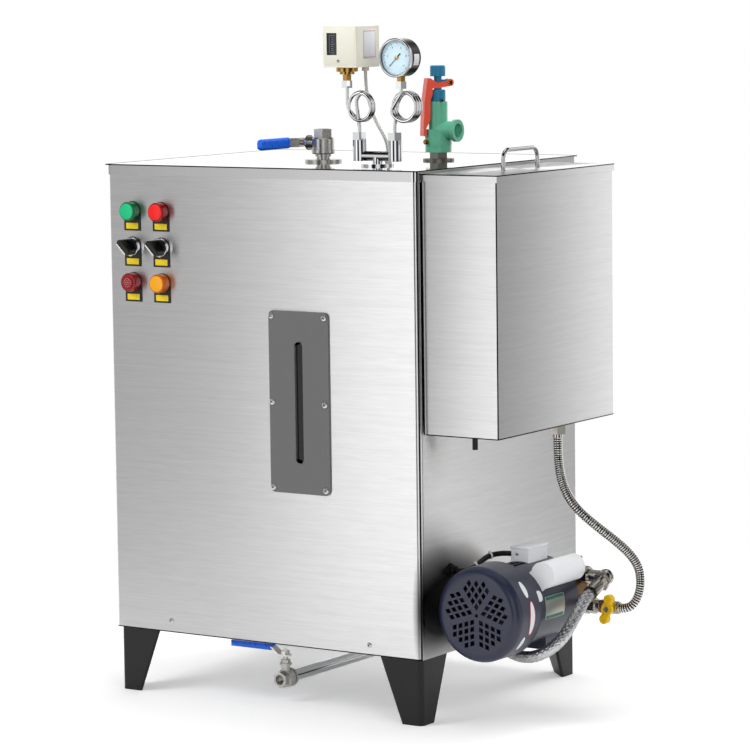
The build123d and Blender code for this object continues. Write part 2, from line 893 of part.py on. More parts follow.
ferrule_end = ferrule_start + ferrule_l
hose_start_y = ports_y - ferrule_end * cos(elbow_angle) - front_y
hose_start_z = upper_z - ferrule_end * sin(elbow_angle) - base_z
elbow_from_left = elbow_x - left_x
hose(
    [
        from_front(elbow_from_left, hose_start_y, hose_start_z),
        from_front(elbow_from_left, hose_start_y - 15, hose_start_z - 5.5),
        from_front(elbow_from_left, 168, 67),
        from_front(735, 152, 53),
        from_front(733, 138, 39),
        from_front(727, 126, 25),
        from_front(716, 117, 13),
        from_front(700, 113, 3),
        from_front(682, 115, -3),
        from_front(663, 121, -5),
        from_front(644, 128, -4),
        from_front(627, 134, 1),
        from_front(611, 138, 9),
        from_front(595, 138, 12),
        from_front(cabinet_w + feed_l, 138, 12),
    ],
    braided_hose_r,
    "outlet_hose",
)

inlet_end = port_x + valve_start + hose_valve_l - left_x
hose(
    [
        from_front(cabinet_w + outlet_from_side, outlet_from_front, tank_base_z - outlet_drop),
        from_front(662, 232, 292),
        from_front(665, 229, 272),
        from_front(675, 219, 250),
        from_front(692, 207, 228),
        from_front(714, 204, 206),
        from_front(739, 217, 182),
        from_front(760, 235, 160),
        from_front(775, 250, 140),
        from_front(784, 259, 121),
        from_front(787, 261, 102),
        from_front(788, 257, 84),
        from_front(784, 251, 68),
        from_front(774, ports_y - front_y, lower_z - base_z),
        from_front(inlet_end, ports_y - front_y, lower_z - base_z),
    ],
    steel_hose_r,
    "inlet_hose",
)

hose(
    [
        from_front(cabinet_w + motor_out - box_w / 2, 156, 142),
        from_front(617, 156, 142),
        from_front(604, 148, 141),
        from_front(598, 133, 139),
        from_front(597, 115, 134),
        from_front(597, 97, 128),
        from_front(594, 84, 125),
        from_front(586, 77, 124),
        from_front(cabinet_w + gland_l, gland_y, gland_z),
    ],
    motor_cable_r,
    "motor_cable",
)

gland_plane = along(right_x, front_y + gland_y, base_z + gland_z, (1, 0, 0))
with BuildPart() as cable_gland:
    hexagon(gland_plane, 0, 5, 2 * gland_r)
    disc(gland_plane, 5, gland_l - 5, gland_r - 2)
save(cable_gland, "cable_gland")


# Ball valves: the flow runs along the plane's normal, the stem along its x
def valve_body(plane, size, stem_l, name):
    stem = Plane(origin=plane.origin, x_dir=plane.z_dir, z_dir=plane.x_dir)
    half = valve_half_l * size
    mouth = half - valve_mouth_l * size
    groove = mouth - valve_body_l * size
    ring = groove - valve_groove_w * size
    ring_back = ring - valve_ring_l * size
    edge = valve_ring_edge * size
    with BuildPart() as valve:
        hexagon(plane, mouth, valve_mouth_l * size, valve_af * size)
        with BuildSketch(Plane(origin=plane.origin, x_dir=plane.y_dir, z_dir=-plane.x_dir)) as section:
            outline(
                (0, -mouth),
                (valve_body_r * size - edge, -mouth),
                (valve_body_r * size, -mouth + edge),
                (valve_body_r * size, -groove),
                ((valve_body_r - valve_groove_t) * size, -groove),
                ((valve_body_r - valve_groove_t) * size, -ring),
                (valve_ring_r * size, -ring),
                (valve_ring_r * size, -ring_back - edge),
                (valve_ring_r * size - edge, -ring_back),
                (valve_neck_r * size, -ring_back),
                (valve_neck_r * size, half),
                (0, half),
            )
        revolve(section.sketch, axis=Axis(plane.origin, plane.z_dir))
        disc(stem, 0, stem_l - bonnet_drop, bonnet_r * size)
        disc(stem, stem_l - bonnet_drop - bonnet_flange_t, bonnet_flange_t, bonnet_flange_r * size)
        hexagon(stem, stem_l - bonnet_drop, gland_nut_l, 2 * gland_nut_r)
        disc(stem, 0, stem_l + lever_t, stem_r)
        hole(plane, half - valve_bore_l * size, valve_bore_l * size, valve_bore_r * size)
    save(valve, name)


def valve_lever(plane, name, grip_name):
    """The plane's normal is the stem, its x points along the lever."""
    side = Plane(origin=plane.origin, x_dir=plane.x_dir, z_dir=plane.y_dir)
    with BuildPart() as lever:
        with BuildSketch(plane) as eye:
            SlotOverall(lever_w + 6, lever_w)
            Circle(stem_r + running_gap, mode=Mode.SUBTRACT)
        extrude(eye.sketch, amount=lever_t)
        with BuildSketch(side.offset(-lever_w / 2)) as strip:
            outline(
                (stem_r + 2, 0),
                (lever_flat, 0),
                (lever_flat + lever_bend, -lever_step),
                (lever_l, -lever_step),
                (lever_l, -lever_step - lever_t),
                (lever_flat + lever_bend - 1, -lever_step - lever_t),
                (lever_flat - 1, -lever_t),
                (stem_r + 2, -lever_t),
            )
        extrude(strip.sketch, amount=lever_w)
        hexagon(plane, lever_t, lever_nut_t, lever_nut_af)
        disc(plane, lever_t + lever_nut_t, lever_bolt_l, lever_bolt_r)
        hole(plane, 0, lever_t + face_gap, stem_r + running_gap)
    save(lever, name)
    grip_plane = plane.offset(lever_step + lever_t / 2)
    grip_start = grip_plane.origin + plane.x_dir * (lever_l - grip_l)
    across = Plane(origin=grip_start, x_dir=plane.y_dir, z_dir=plane.x_dir)
    with BuildPart() as grip:
        with BuildSketch(across) as sleeve:
            RectangleRounded(grip_w, grip_t, grip_t / 2 - 0.2)
        extrude(sleeve.sketch, amount=grip_l + grip_tip)
        with BuildSketch(Plane(origin=grip_start, x_dir=plane.x_dir, z_dir=plane.z_dir)) as shape:
            with Locations(((grip_l + grip_tip) / 2, 0)):
                RectangleRounded(grip_l + grip_tip + 0.01, grip_w + 0.01, grip_tip_r)
            with Locations((grip_tip_r / 2, 0)):
                Rectangle(grip_tip_r, grip_w + 0.01)
        extrude(shape.sketch, amount=grip_t, both=True, mode=Mode.INTERSECT)
        with BuildSketch(across) as strip_way:
            Rectangle(lever_w, lever_t)
        extrude(strip_way.sketch, amount=grip_l, mode=Mode.SUBTRACT)
    save(grip, grip_name)


steam_x = left_x + steam_valve_x
steam_y = front_y + steam_valve_y
with BuildPart() as steam_flange:
    disc(along(steam_x, steam_y, roof_z, (0, 0, 1), (1, 0, 0)), 0, steam_flange_t, steam_flange_r)
    disc(along(steam_x, steam_y, roof_z, (0, 0, 1), (1, 0, 0)), 0, steam_valve_z - valve_half_l, steam_nipple_r)
save(steam_flange, "steam_flange")
valve_body(along(steam_x, steam_y, roof_z + steam_valve_z, (0, 0, 1), (-1, 0, 0)), 1, stem_out, "steam_valve_body")
valve_lever(
    along(steam_x - stem_out, steam_y, roof_z + steam_valve_z, (-1, 0, 0), (0, -1, 0)),
    "steam_valve_lever",
    "steam_valve_grip",
)

drain_y = front_y + drain_valve_y
drain_z = base_z + drain_valve_z
valve_body(along(mid_x, drain_y, drain_z, (0, -1, 0), (0, 0, 1)), drain_scale, drain_stem_out, "drain_valve_body")
valve_lever(
    along(mid_x, drain_y, drain_z + drain_stem_out, (0, 0, 1), (-1, 0, 0)),
    "drain_valve_lever",
    "drain_valve_grip",
)

with BuildPart() as drain_pipe:
    with BuildLine() as drain_route:
        FilletPolyline(
            (mid_x, drain_y + valve_half_l * drain_scale, drain_z),
            (mid_x, front_y + drain_pipe_back, drain_z),
            (mid_x, front_y + drain_pipe_back, base_z + base_rim),
            radius=drain_bend_r,
        )
    with BuildSketch(Plane(origin=drain_route.line @ 0, z_dir=drain_route.line % 0)):
        Circle(drain_pipe_r)
    sweep()
save(drain_pipe, "drain_pipe")

# Manifold on the roof: a short foot, a cross bar and two upright arms
bar_z = roof_z + manifold_bar_z
fork_x = left_x + manifold_x
fork_y = front_y + manifold_y
arm_x = [fork_x - manifold_span / 2, fork_x + manifold_span / 2]
arm_top = roof_z + manifold_arm_h
with BuildPart() as manifold:
    disc(along(fork_x, fork_y, roof_z, (0, 0, 1), (1, 0, 0)), 0, manifold_flange_t, manifold_flange_r)
    disc(along(fork_x, fork_y, roof_z, (0, 0, 1), (1, 0, 0)), 0, manifold_bar_z, manifold_bar_r)
    disc(along(arm_x[0], fork_y, bar_z, (1, 0, 0)), 0, manifold_span, manifold_bar_r)
    for x in arm_x:
        arm_base = bar_z - manifold_bar_r
        disc(along(x, fork_y, arm_base, (0, 0, 1), (1, 0, 0)), 0, arm_top - arm_base, manifold_arm_r)
        hexagon(along(x, fork_y, arm_top, (0, 0, 1), (1, 0, 0)), 0, arm_nut_l, arm_nut_af)
save(manifold, "manifold")

# Siphon tubes: turns that keep live steam out of the instruments
nut_top = arm_top + arm_nut_l
joint_level = roof_z + joint_z
socket_level = joint_level + siphon_nut_l
coil_z = nut_top + coil_rise
corner_step = 360 / coil_sides
corner_r = coil_r / cos(radians(corner_step / 2))
switch_x = arm_x[0] + switch_lead
gauge_x = arm_x[1] + gauge_lead
switch_y = fork_y + switch_turns * siphon_pitch / 2 + coil_clearance
gauge_y = fork_y - gauge_turns * siphon_pitch / 2 - coil_clearance


def coil_corners(centre_x, first_angle, last_angle, first_y, last_y):
    """Corners of a clockwise coil, seen from the front, that walks from one depth to another."""
    count = round((first_angle - last_angle) / corner_step) + 1
    corners = []
    for step in range(count):
        angle = radians(first_angle - step * corner_step)
        walked = first_y + (last_y - first_y) * step / (count - 1)
        corners.append((centre_x + corner_r * cos(angle), walked, coil_z + corner_r * sin(angle)))
    return corners


def siphon_tube(points):
    with BuildLine() as route:
        FilletPolyline(*points, radius=[min(r, coil_r - 0.2) for r in bend_radii(points)])
    with BuildSketch(Plane(origin=route.line @ 0, z_dir=route.line % 0)) as section:
        Circle(siphon_r)
    sweep(section.sketch, path=route.line)


gauge_coil_x = arm_x[1] + coil_r
gauge_half = gauge_turns * siphon_pitch / 2
switch_coil_x = arm_x[0] + switch_coil_offset
switch_half = switch_turns * siphon_pitch / 2
half_corner = corner_step / 2
with BuildPart() as siphon_tubes:
    siphon_tube([
        (arm_x[1], fork_y, nut_top),
        (arm_x[1], fork_y, nut_top + 8),
        *coil_corners(gauge_coil_x, 180 - half_corner, half_corner - 180 - 360 * (gauge_turns - 1),
                      fork_y + gauge_half, fork_y - gauge_half),
        (gauge_x, gauge_y, joint_level - 7),
        (gauge_x, gauge_y, joint_level),
    ])
    siphon_tube([
        (arm_x[0], fork_y, nut_top),
        (arm_x[0], fork_y, nut_top + 8),
        (arm_x[0], fork_y - switch_half - 2, coil_z + coil_r - 10),
        *coil_corners(switch_coil_x, 90 - half_corner, 90 + half_corner + 120 - 360 * switch_turns,
                      fork_y - switch_half, fork_y + switch_half),
        (switch_x, switch_y, coil_z - 4),
        (switch_x, switch_y, joint_level),
    ])
    for x, y in ((switch_x, switch_y), (gauge_x, gauge_y)):
        hexagon(along(x, y, joint_level, (0, 0, 1), (1, 0, 0)), 0, siphon_nut_l, siphon_nut_af)
save(siphon_tubes, "siphon_tubes")

# Pressure switch
switch_stem = along(switch_x, switch_y, socket_level, (0, 0, 1), (1, 0, 0))
switch_base = roof_z + switch_z
switch_rise = switch_base - socket_level
with BuildPart() as switch_bellows:
    hexagon(switch_stem, 0, switch_nut_l, switch_nut_af)
    disc(switch_stem, 0, switch_rise, bellows_neck_r)
    disc(switch_stem, switch_rise - bellows_h - bellows_step_h, bellows_step_h, bellows_step_r)
    disc(switch_stem, switch_rise - bellows_h, bellows_h, bellows_r)
    chamfer(switch_bellows.faces().sort_by(Axis.Z)[-1].edges(), 1)
save(switch_bellows, "switch_bellows")

with BuildPart() as switch_case:
    with BuildSketch(Plane.XY.offset(switch_base)):
        with Locations((switch_x + case_shift, fork_y - switch_front + switch_d / 2)):
            Rectangle(switch_w, switch_d)
    extrude(amount=switch_h)
    fillet(switch_case.edges().filter_by(Axis.Z), switch_edge_r)
    fillet(switch_case.faces().sort_by(Axis.Z)[-1].edges(), switch_edge_r / 2)
save(switch_case, "switch_case")

# Pressure gauge
gauge_stem = along(gauge_x, gauge_y, socket_level, (0, 0, 1), (1, 0, 0))
dial_z = roof_z + gauge_z
gauge_face = along(gauge_x, gauge_y - gauge_front, dial_z, (0, -1, 0))
with BuildPart() as gauge_case:
    disc(gauge_face, -gauge_l, gauge_l, gauge_r)
    fillet(gauge_case.faces().sort_by(Axis.Y)[-1].edges(), 2)
    hole(gauge_face, -gauge_dial_depth - gauge_dial_t, gauge_dial_depth + gauge_dial_t, gauge_r - gauge_wall)
save(gauge_case, "gauge_case")

with BuildPart() as gauge_socket:
    hexagon(gauge_stem, 0, gauge_nut_l, gauge_nut_af)
    disc(gauge_stem, gauge_nut_l, dial_z - gauge_r - socket_level - gauge_nut_l + 3, gauge_stem_r)
    hole(along(gauge_x, gauge_y + gauge_r, dial_z, (0, -1, 0)), 0, 2 * gauge_r, gauge_r)
save(gauge_socket, "gauge_socket")

with BuildPart() as gauge_dial:
    disc(gauge_face, -gauge_dial_depth - gauge_dial_t, gauge_dial_t, gauge_r - gauge_wall)
save(gauge_dial, "gauge_dial")

with BuildPart() as gauge_pointer:
    with BuildSketch(gauge_face.offset(-gauge_dial_depth)):
        Circle(3)
        with Locations(Rotation(0, 0, pointer_angle)):
            with Locations(((pointer_l - pointer_tail) / 2, 0)):
                Rectangle(pointer_l + pointer_tail, pointer_w)
    extrude(amount=pointer_t)
save(gauge_pointer, "gauge_pointer")

with BuildPart() as gauge_glass:
    disc(gauge_face, -gauge_glass_t - 1, gauge_glass_t, gauge_r - gauge_wall)
save(gauge_glass, "gauge_glass")

# Safety valve
relief_x = left_x + safety_x
relief_y = front_y + safety_y
relief = along(relief_x, relief_y, roof_z, (0, 0, 1), (1, 0, 0))
ring_at = safety_flange_t + safety_hex_h
body_at = ring_at + safety_ring_h
neck_at = body_at + safety_body_h
bonnet_at = neck_at + safety_neck_h
stem_at = bonnet_at + safety_bonnet_h
cap_at = stem_at + safety_stem_h
outlet_at = body_at + safety_outlet_rise
with BuildPart() as safety_base:
    disc(relief, 0, safety_flange_t, safety_flange_r)
    hexagon(relief, safety_flange_t, safety_hex_h, safety_hex_af)
save(safety_base, "safety_base")

relief_way = along(relief_x, relief_y, roof_z + outlet_at, (1, 0, 0))
with BuildPart() as safety_body:
    disc(relief, ring_at, safety_ring_h, safety_ring_r)
    disc(relief, body_at, safety_groove_w, safety_ring_r - safety_groove_t)
    disc(relief, body_at + safety_groove_w, safety_body_h - safety_groove_w, safety_body_r)
    disc(relief, neck_at, safety_neck_h, safety_neck_r)
    fillet(safety_body.edges().filter_by(GeomType.CIRCLE).sort_by(Axis.Z)[-1], 1)
    disc(relief_way, 0, safety_outlet_out, safety_outlet_neck_r)
    disc(relief_way, safety_outlet_out - safety_outlet_t, safety_outlet_t, safety_outlet_r)
    hole(relief_way, safety_outlet_out - safety_bore_l, safety_bore_l, safety_bore_r)
save(safety_body, "safety_body")

# The lever's plane: x points out to the handle, y up, the pin runs along z
facing = radians(lever_facing)
handle_way = (cos(facing), sin(facing), 0)
lever_side = Plane(origin=(relief_x, relief_y, roof_z + stem_at), x_dir=handle_way, z_dir=(sin(facing), -cos(facing), 0))
with BuildPart() as safety_bonnet:
    disc(relief, bonnet_at, safety_bonnet_h, safety_bonnet_r)
    chamfer(safety_bonnet.faces().sort_by(Axis.Z)[-1].edges(), 1.5)
    disc(relief, stem_at - 1, safety_stem_h + 1, safety_stem_r)
    disc(relief, cap_at, safety_cap_h, safety_cap_r)
    fillet(safety_bonnet.faces().sort_by(Axis.Z)[-1].edges(), safety_cap_edge_r)
    with BuildSketch(lever_side) as lug:
        with Locations((-lever_pin_back / 2, lever_pin_up)):
            SlotCenterToCenter(lever_pin_back, 2 * lever_eye_r - 2)
    extrude(lug.sketch, amount=lug_half_w, both=True)
    with BuildSketch(lever_side) as pin:
        with Locations((-lever_pin_back, lever_pin_up)):
            Circle(lever_pin_r)
    extrude(pin.sketch, amount=lever_half_w + 1, both=True)
save(safety_bonnet, "safety_bonnet")

arm_top_edge = lever_pin_up + lever_arm_drop - 2
with BuildPart() as safety_lever:
    with BuildSketch(lever_side) as cheek:
        with BuildLine() as edge:
            Polyline(
                (-lever_pin_back, arm_top_edge),
                (4, arm_top_edge - 3),
                (lever_top - 5, arm_top_edge + 4),
                (lever_top, arm_top_edge + 4),
                (lever_tip - 2, -20),
                (lever_tip, arm_top_edge - lever_tail_drop),
                (lever_tip - 5, arm_top_edge - lever_tail_drop),
                (safety_body_r + 1, 12 - lever_tail_drop + arm_top_edge),
                (safety_neck_r + 1, -60 + arm_top_edge),
                (safety_neck_r, -safety_bonnet_h + 2),
                (lever_half_w + 2, -6),
                (lever_half_w + 2, 2),
                (0, 3),
                (-lever_pin_back, lever_pin_up - lever_eye_r),
                close=True,
            )
        make_face(edge.edges())
        with Locations((-lever_pin_back, lever_pin_up)):
            Circle(lever_eye_r)
            Circle(lever_pin_r + running_gap, mode=Mode.SUBTRACT)
    extrude(cheek.sketch, amount=lever_half_w, both=True)
    with BuildSketch(lever_side) as channel:
        outline(
            (-lever_pin_back - 2 * lever_eye_r, arm_top_edge + 10),
            (lever_top - lever_wall, arm_top_edge + 10),
            (lever_top - lever_wall, arm_top_edge),
            (lever_tip - 2 - lever_wall, -20),
            (lever_tip - lever_wall, arm_top_edge - lever_tail_drop),
            (lever_tip - lever_wall, arm_top_edge - lever_tail_drop - 10),
            (-lever_pin_back - 2 * lever_eye_r, arm_top_edge - lever_tail_drop - 10),
        )
    extrude(channel.sketch, amount=lever_half_w - lever_wall, both=True, mode=Mode.SUBTRACT)
save(safety_lever, "safety_lever")

# Cable from the pressure switch down to the roof
cable_x = switch_x + cable_from_switch_x
cable_y = switch_y + cable_from_switch_y
entry_x = fork_x + cable_entry_x
entry_y = fork_y + cable_entry_y
cable_top = switch_base - switch_gland_l
cable_end = roof_z + switch_gland_l
with BuildPart() as switch_glands:
    disc(along(cable_x, cable_y, switch_base, (0, 0, -1), (1, 0, 0)), 0, switch_gland_l, switch_gland_r)
    disc(along(entry_x, entry_y, roof_z, (0, 0, 1), (1, 0, 0)), 0, switch_gland_l, switch_gland_r)
save(switch_glands, "switch_glands")

hose(
    [
        (cable_x, cable_y, cable_top),
        (cable_x, cable_y, cable_top - 24),
        (cable_x + 5, cable_y + 2, cable_top - 50),
        (cable_x + 13, cable_y + 6, cable_top - 76),
        (entry_x - 5, entry_y - 1, cable_top - 100),
        (entry_x, entry_y, cable_end + 18),
        (entry_x, entry_y, cable_end),
    ],
    switch_cable_r,
    "switch_cable",
)
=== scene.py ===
from math import cos, pi, radians, sin

import bmesh
import bpy
from mathutils import Matrix, Vector


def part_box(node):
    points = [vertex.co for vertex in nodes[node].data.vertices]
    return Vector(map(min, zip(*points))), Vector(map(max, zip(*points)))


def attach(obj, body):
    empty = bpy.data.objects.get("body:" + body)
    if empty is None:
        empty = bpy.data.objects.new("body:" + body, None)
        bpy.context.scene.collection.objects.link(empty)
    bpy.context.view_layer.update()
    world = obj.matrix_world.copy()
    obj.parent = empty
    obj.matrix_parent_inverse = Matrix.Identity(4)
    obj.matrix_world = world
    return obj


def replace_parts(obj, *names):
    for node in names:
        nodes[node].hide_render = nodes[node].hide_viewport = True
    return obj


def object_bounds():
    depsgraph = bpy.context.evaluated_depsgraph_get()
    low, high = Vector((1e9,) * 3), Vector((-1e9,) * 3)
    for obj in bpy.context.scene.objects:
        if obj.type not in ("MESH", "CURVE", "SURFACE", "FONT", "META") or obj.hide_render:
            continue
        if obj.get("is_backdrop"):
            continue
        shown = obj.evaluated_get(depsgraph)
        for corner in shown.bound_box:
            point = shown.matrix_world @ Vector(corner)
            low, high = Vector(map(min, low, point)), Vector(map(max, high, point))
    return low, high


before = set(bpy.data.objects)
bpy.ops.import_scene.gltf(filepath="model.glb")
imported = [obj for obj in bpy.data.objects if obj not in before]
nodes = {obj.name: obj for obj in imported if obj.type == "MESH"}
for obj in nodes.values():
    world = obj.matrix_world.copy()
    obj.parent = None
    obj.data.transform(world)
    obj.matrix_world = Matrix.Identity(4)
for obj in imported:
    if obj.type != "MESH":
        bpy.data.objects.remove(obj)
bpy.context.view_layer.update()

# The camera stands where the photograph was taken from, in front of the machine
# and to its right. Its place is given from the front panel's lower left corner.
wall_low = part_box("cabinet_wrap")[0]
panel_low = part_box("front_panel")[0]
cabinet_corner = Vector((wall_low.x, panel_low.y, panel_low.z))
camera_from_corner = Vector((3.23876, -4.18016, 0.99847))
camera_azimuth = radians(33.345)
camera_pitch = radians(6.602)
camera_roll = radians(-0.744)

camera_data = bpy.data.cameras.new("photo_camera")
camera_data.sensor_width = 36
camera_data.lens = 164.66
camera_data.clip_end = 60
camera = bpy.data.objects.new("photo_camera", camera_data)
camera.matrix_world = (
    Matrix.Translation(cabinet_corner + camera_from_corner)
    @ Matrix.Rotation(camera_azimuth, 4, "Z")
    @ Matrix.Rotation(pi / 2 - camera_pitch, 4, "X")
    @ Matrix.Rotation(camera_roll, 4, "Z")
)
bpy.context.scene.collection.objects.link(camera)
bpy.context.scene.camera = camera
bpy.context.scene.view_settings.view_transform = "Standard"


# The studio: white walls with dark gaps between them, so that plated parts show
# light and dark bands, and a dark ring under a white ceiling. The camera and
# clear glass see plain white.
def linear(hex_colour):
    """An sRGB hex colour as the linear values that a socket takes."""
    parts = [int(hex_colour[i:i + 2], 16) / 255 for i in (1, 3, 5)]
    return (*[c / 12.92 if c <= 0.04045 else ((c + 0.055) / 1.055) ** 2.4 for c in parts], 1)


def add_node(tree, kind, inputs=None, **settings):
    """A node with its settings, its inputs given as numbers or as sockets to join."""
    made = tree.nodes.new("ShaderNode" + kind)
    for name, value in settings.items():
        setattr(made, name, value)
    for name, value in (inputs or {}).items():
        if isinstance(value, bpy.types.NodeSocket):
            tree.links.new(value, made.inputs[name])
        else:
            made.inputs[name].default_value = value
    return made


def fill_ramp(ramp, stops):
    """Sets a colour ramp's stops."""
    while len(ramp.elements) < len(stops):
        ramp.elements.new(0.5)
    for element, (position, colour) in zip(ramp.elements, stops):
        element.position = position
        element.color = linear(colour)


wall_stops = [
    (0.00, "#8f8f8f"), (0.04, "#f0f0f0"), (0.10, "#6c6c6c"), (0.147, "#848484"), (0.165, "#a6a6a6"),
    (0.187, "#e6e6e6"), (0.21, "#f4f4f4"), (0.45, "#f6f6f6"), (0.55, "#9c9c9c"), (0.63, "#a0a0a0"),
    (0.645, "#a6a6a6"), (0.655, "#cccccc"), (0.667, "#f8f8f8"), (0.675, "#ffffff"), (0.715, "#ffffff"),
    (0.735, "#1c1c1c"), (0.79, "#101010"), (0.83, "#e8e8e8"), (0.87, "#ededed"), (0.90, "#161616"),
    (0.96, "#242424"), (1.00, "#8f8f8f"),
]
ceiling_stops = [
    (0.0, "#d8d8d8"), (0.40, "#ffffff"), (0.70, "#ffffff"), (0.78, "#202020"), (0.92, "#202020"),
    (0.96, "#ffffff"),
]
studio_strength = 1.4

world = bpy.data.worlds.new("studio")
bpy.context.scene.world = world
world.use_nodes = True
studio = world.node_tree
sight = add_node(studio, "TexCoord")
looking = add_node(studio, "SeparateXYZ", {"Vector": sight.outputs["Generated"]})
bearing = add_node(studio, "Math", {0: looking.outputs["Y"], 1: looking.outputs["X"]}, operation="ARCTAN2")
round_wall = add_node(studio, "MapRange", {"Value": bearing.outputs[0], "From Min": -pi, "From Max": pi})
turned_wall = add_node(studio, "Math", {0: round_wall.outputs[0], 1: 0.5}, operation="ADD")
wall_share = add_node(studio, "Math", {0: turned_wall.outputs[0]}, operation="FRACT")
height = add_node(studio, "MapRange", {"Value": looking.outputs["Z"], "From Min": -1.0, "From Max": 1.0})
walls = add_node(studio, "ValToRGB", {"Fac": wall_share.outputs[0]})
fill_ramp(walls.color_ramp, wall_stops)
ceiling = add_node(studio, "ValToRGB", {"Fac": height.outputs[0]})
fill_ramp(ceiling.color_ramp, ceiling_stops)
room = add_node(
    studio, "Mix", {0: 1.0, 6: walls.outputs["Color"], 7: ceiling.outputs["Color"]},
    data_type="RGBA", blend_type="MULTIPLY",
)
ray_kind = add_node(studio, "LightPath")
straight = add_node(
    studio, "Math", {0: ray_kind.outputs["Is Camera Ray"], 1: ray_kind.outputs["Is Transmission Ray"]},
    operation="MAXIMUM",
)
studio_light = studio.nodes["Background"]
studio_light.inputs["Strength"].default_value = studio_strength
studio.links.new(room.outputs[2], studio_light.inputs["Color"])
white_light = add_node(studio, "Background", {"Color": (1, 1, 1, 1), "Strength": 1.0})
shown = add_node(
    studio, "MixShader", {0: straight.outputs[0], 1: studio_light.outputs[0], 2: white_light.outputs[0]},
)
studio.links.new(shown.outputs[0], studio.nodes["World Output"].inputs["Surface"])

lamp_aim = Vector((0, 0, 0.45))
for name, place, size, power in (
    ("key_lamp", (-1.6, -2.4, 2.6), 1.8, 50),
    ("fill_lamp", (2.6, -1.8, 1.7), 1.6, 30),
    ("top_lamp", (0.3, 0.4, 3.0), 2.2, 40),
    ("back_lamp", (0.6, 2.8, 1.8), 1.8, 25),
):
    lamp_data = bpy.data.lights.new(name, "AREA")
    lamp_data.size = size
    lamp_data.energy = power
    lamp = bpy.data.objects.new(name, lamp_data)
    lamp.location = place
    lamp.rotation_euler = (lamp_aim - lamp.location).to_track_quat("-Z", "Y").to_euler()
    lamp.visible_camera = False
    lamp.visible_glossy = False
    bpy.context.scene.collection.objects.link(lamp)

# The floor is a pale disc that fades into the white background, and keeps the
# machine's shadow.
floor_radius = 3.0
floor_clear_from = 0.55
floor_clear_to = 1.5
floor_shape = bmesh.new()
bmesh.ops.create_circle(floor_shape, cap_ends=True, segments=96, radius=floor_radius)
floor_mesh = bpy.data.meshes.new("floor")
floor_shape.to_mesh(floor_mesh)
floor_shape.free()
floor = bpy.data.objects.new("floor", floor_mesh)
bpy.context.scene.collection.objects.link(floor)
floor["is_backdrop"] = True
floor_paint = bpy.data.materials.new("pale_studio_floor")
floor_paint.use_nodes = True
floor_tree = floor_paint.node_tree
floor_place = add_node(floor_tree, "TexCoord")
from_middle = add_node(floor_tree, "VectorMath", {0: floor_place.outputs["Object"]}, operation="LENGTH")
fade = add_node(
    floor_tree, "MapRange",
    {"Value": from_middle.outputs["Value"], "From Min": floor_clear_from, "From Max": floor_clear_to},
    interpolation_type="SMOOTHSTEP",
)
floor_shader = floor_tree.nodes["Principled BSDF"]
floor_shader.inputs["Base Color"].default_value = linear("#fbfbfb")
floor_shader.inputs["Roughness"].default_value = 0.8
# A glow that only the camera sees keeps the floor near white and its shadow light.
floor_glow = 0.24
floor_ray = add_node(floor_tree, "LightPath")
floor_lift = add_node(
    floor_tree, "Math", {0: floor_ray.outputs["Is Camera Ray"], 1: floor_glow}, operation="MULTIPLY",
)
floor_shader.inputs["Emission Color"].default_value = (1, 1, 1, 1)
floor_tree.links.new(floor_lift.outputs[0], floor_shader.inputs["Emission Strength"])
clear = add_node(floor_tree, "BsdfTransparent")
faded = add_node(
    floor_tree, "MixShader", {0: fade.outputs[0], 1: floor_shader.outputs[0], 2: clear.outputs[0]},
)
floor_tree.links.new(faded.outputs[0], floor_tree.nodes["Material Output"].inputs["Surface"])
floor_mesh.materials.append(floor_paint)


# The feed hose from the tank to the pump: a corrugated stainless tube, rolled
# from thin strip into close rings, so its outline is a row of small ridges.
def from_front(x, y, z):
    """A point in millimetres from the front panel's lower left corner."""
    return cabinet_corner + Vector((x, y, z)) / 1000


def shader_of(material):
    """The one shader that every finish here is built on."""
    return material.node_tree.nodes["Principled BSDF"]


def new_material(
    name, colour, metallic, roughness, grain_mm=1.0, uneven=0.05, shade=0.06, relief_mm=0.0,
):
    """A finish whose grain, of a real size, varies its roughness, its shade and its height."""
    made = bpy.data.materials.new(name)
    made.use_nodes = True
    tree = made.node_tree
    shader = tree.nodes["Principled BSDF"]
    shader.inputs["Metallic"].default_value = metallic
    place = add_node(tree, "TexCoord")
    grain = add_node(
        tree, "TexNoise", {"Vector": place.outputs["Object"], "Scale": 1000 / grain_mm, "Detail": 3.0},
    )
    spread = add_node(tree, "MapRange", {
        "Value": grain.outputs["Fac"], "From Min": 0.3, "From Max": 0.7,
        "To Min": roughness - uneven, "To Max": roughness + uneven,
    })
    tree.links.new(spread.outputs[0], shader.inputs["Roughness"])
    light = linear(colour)
    dark = (*[c * (1 - shade) for c in light[:3]], 1)
    tone = add_node(tree, "Mix", {0: grain.outputs["Fac"], 6: dark, 7: light}, data_type="RGBA")
    tree.links.new(tone.outputs[2], shader.inputs["Base Color"])
    if relief_mm:
        bump = add_node(tree, "Bump", {"Height": grain.outputs["Fac"], "Distance": relief_mm / 1000})
        tree.links.new(bump.outputs[0], shader.inputs["Normal"])
    return made


def hose_route(name, points):
    """A smooth centre line with the same control points as the hose's solid."""
    route = bpy.data.curves.new(name, "CURVE")
    route.dimensions = "3D"
    spline = route.splines.new("NURBS")
    spline.points.add(len(points) - 1)
    for point, place in zip(spline.points, points):
        point.co = (*place, 1)
    spline.order_u = 3
    spline.use_endpoint_u = True
    spline.resolution_u = 24
    return route


def read_line(route):
    """The points of a route's own line, read from its curve with no bevel."""
    holder = bpy.data.objects.new("line", route)
    mesh = bpy.data.meshes.new_from_object(holder)
    line = [vertex.co.copy() for vertex in mesh.vertices]
    bpy.data.objects.remove(holder)
    bpy.data.meshes.remove(mesh)
    return line


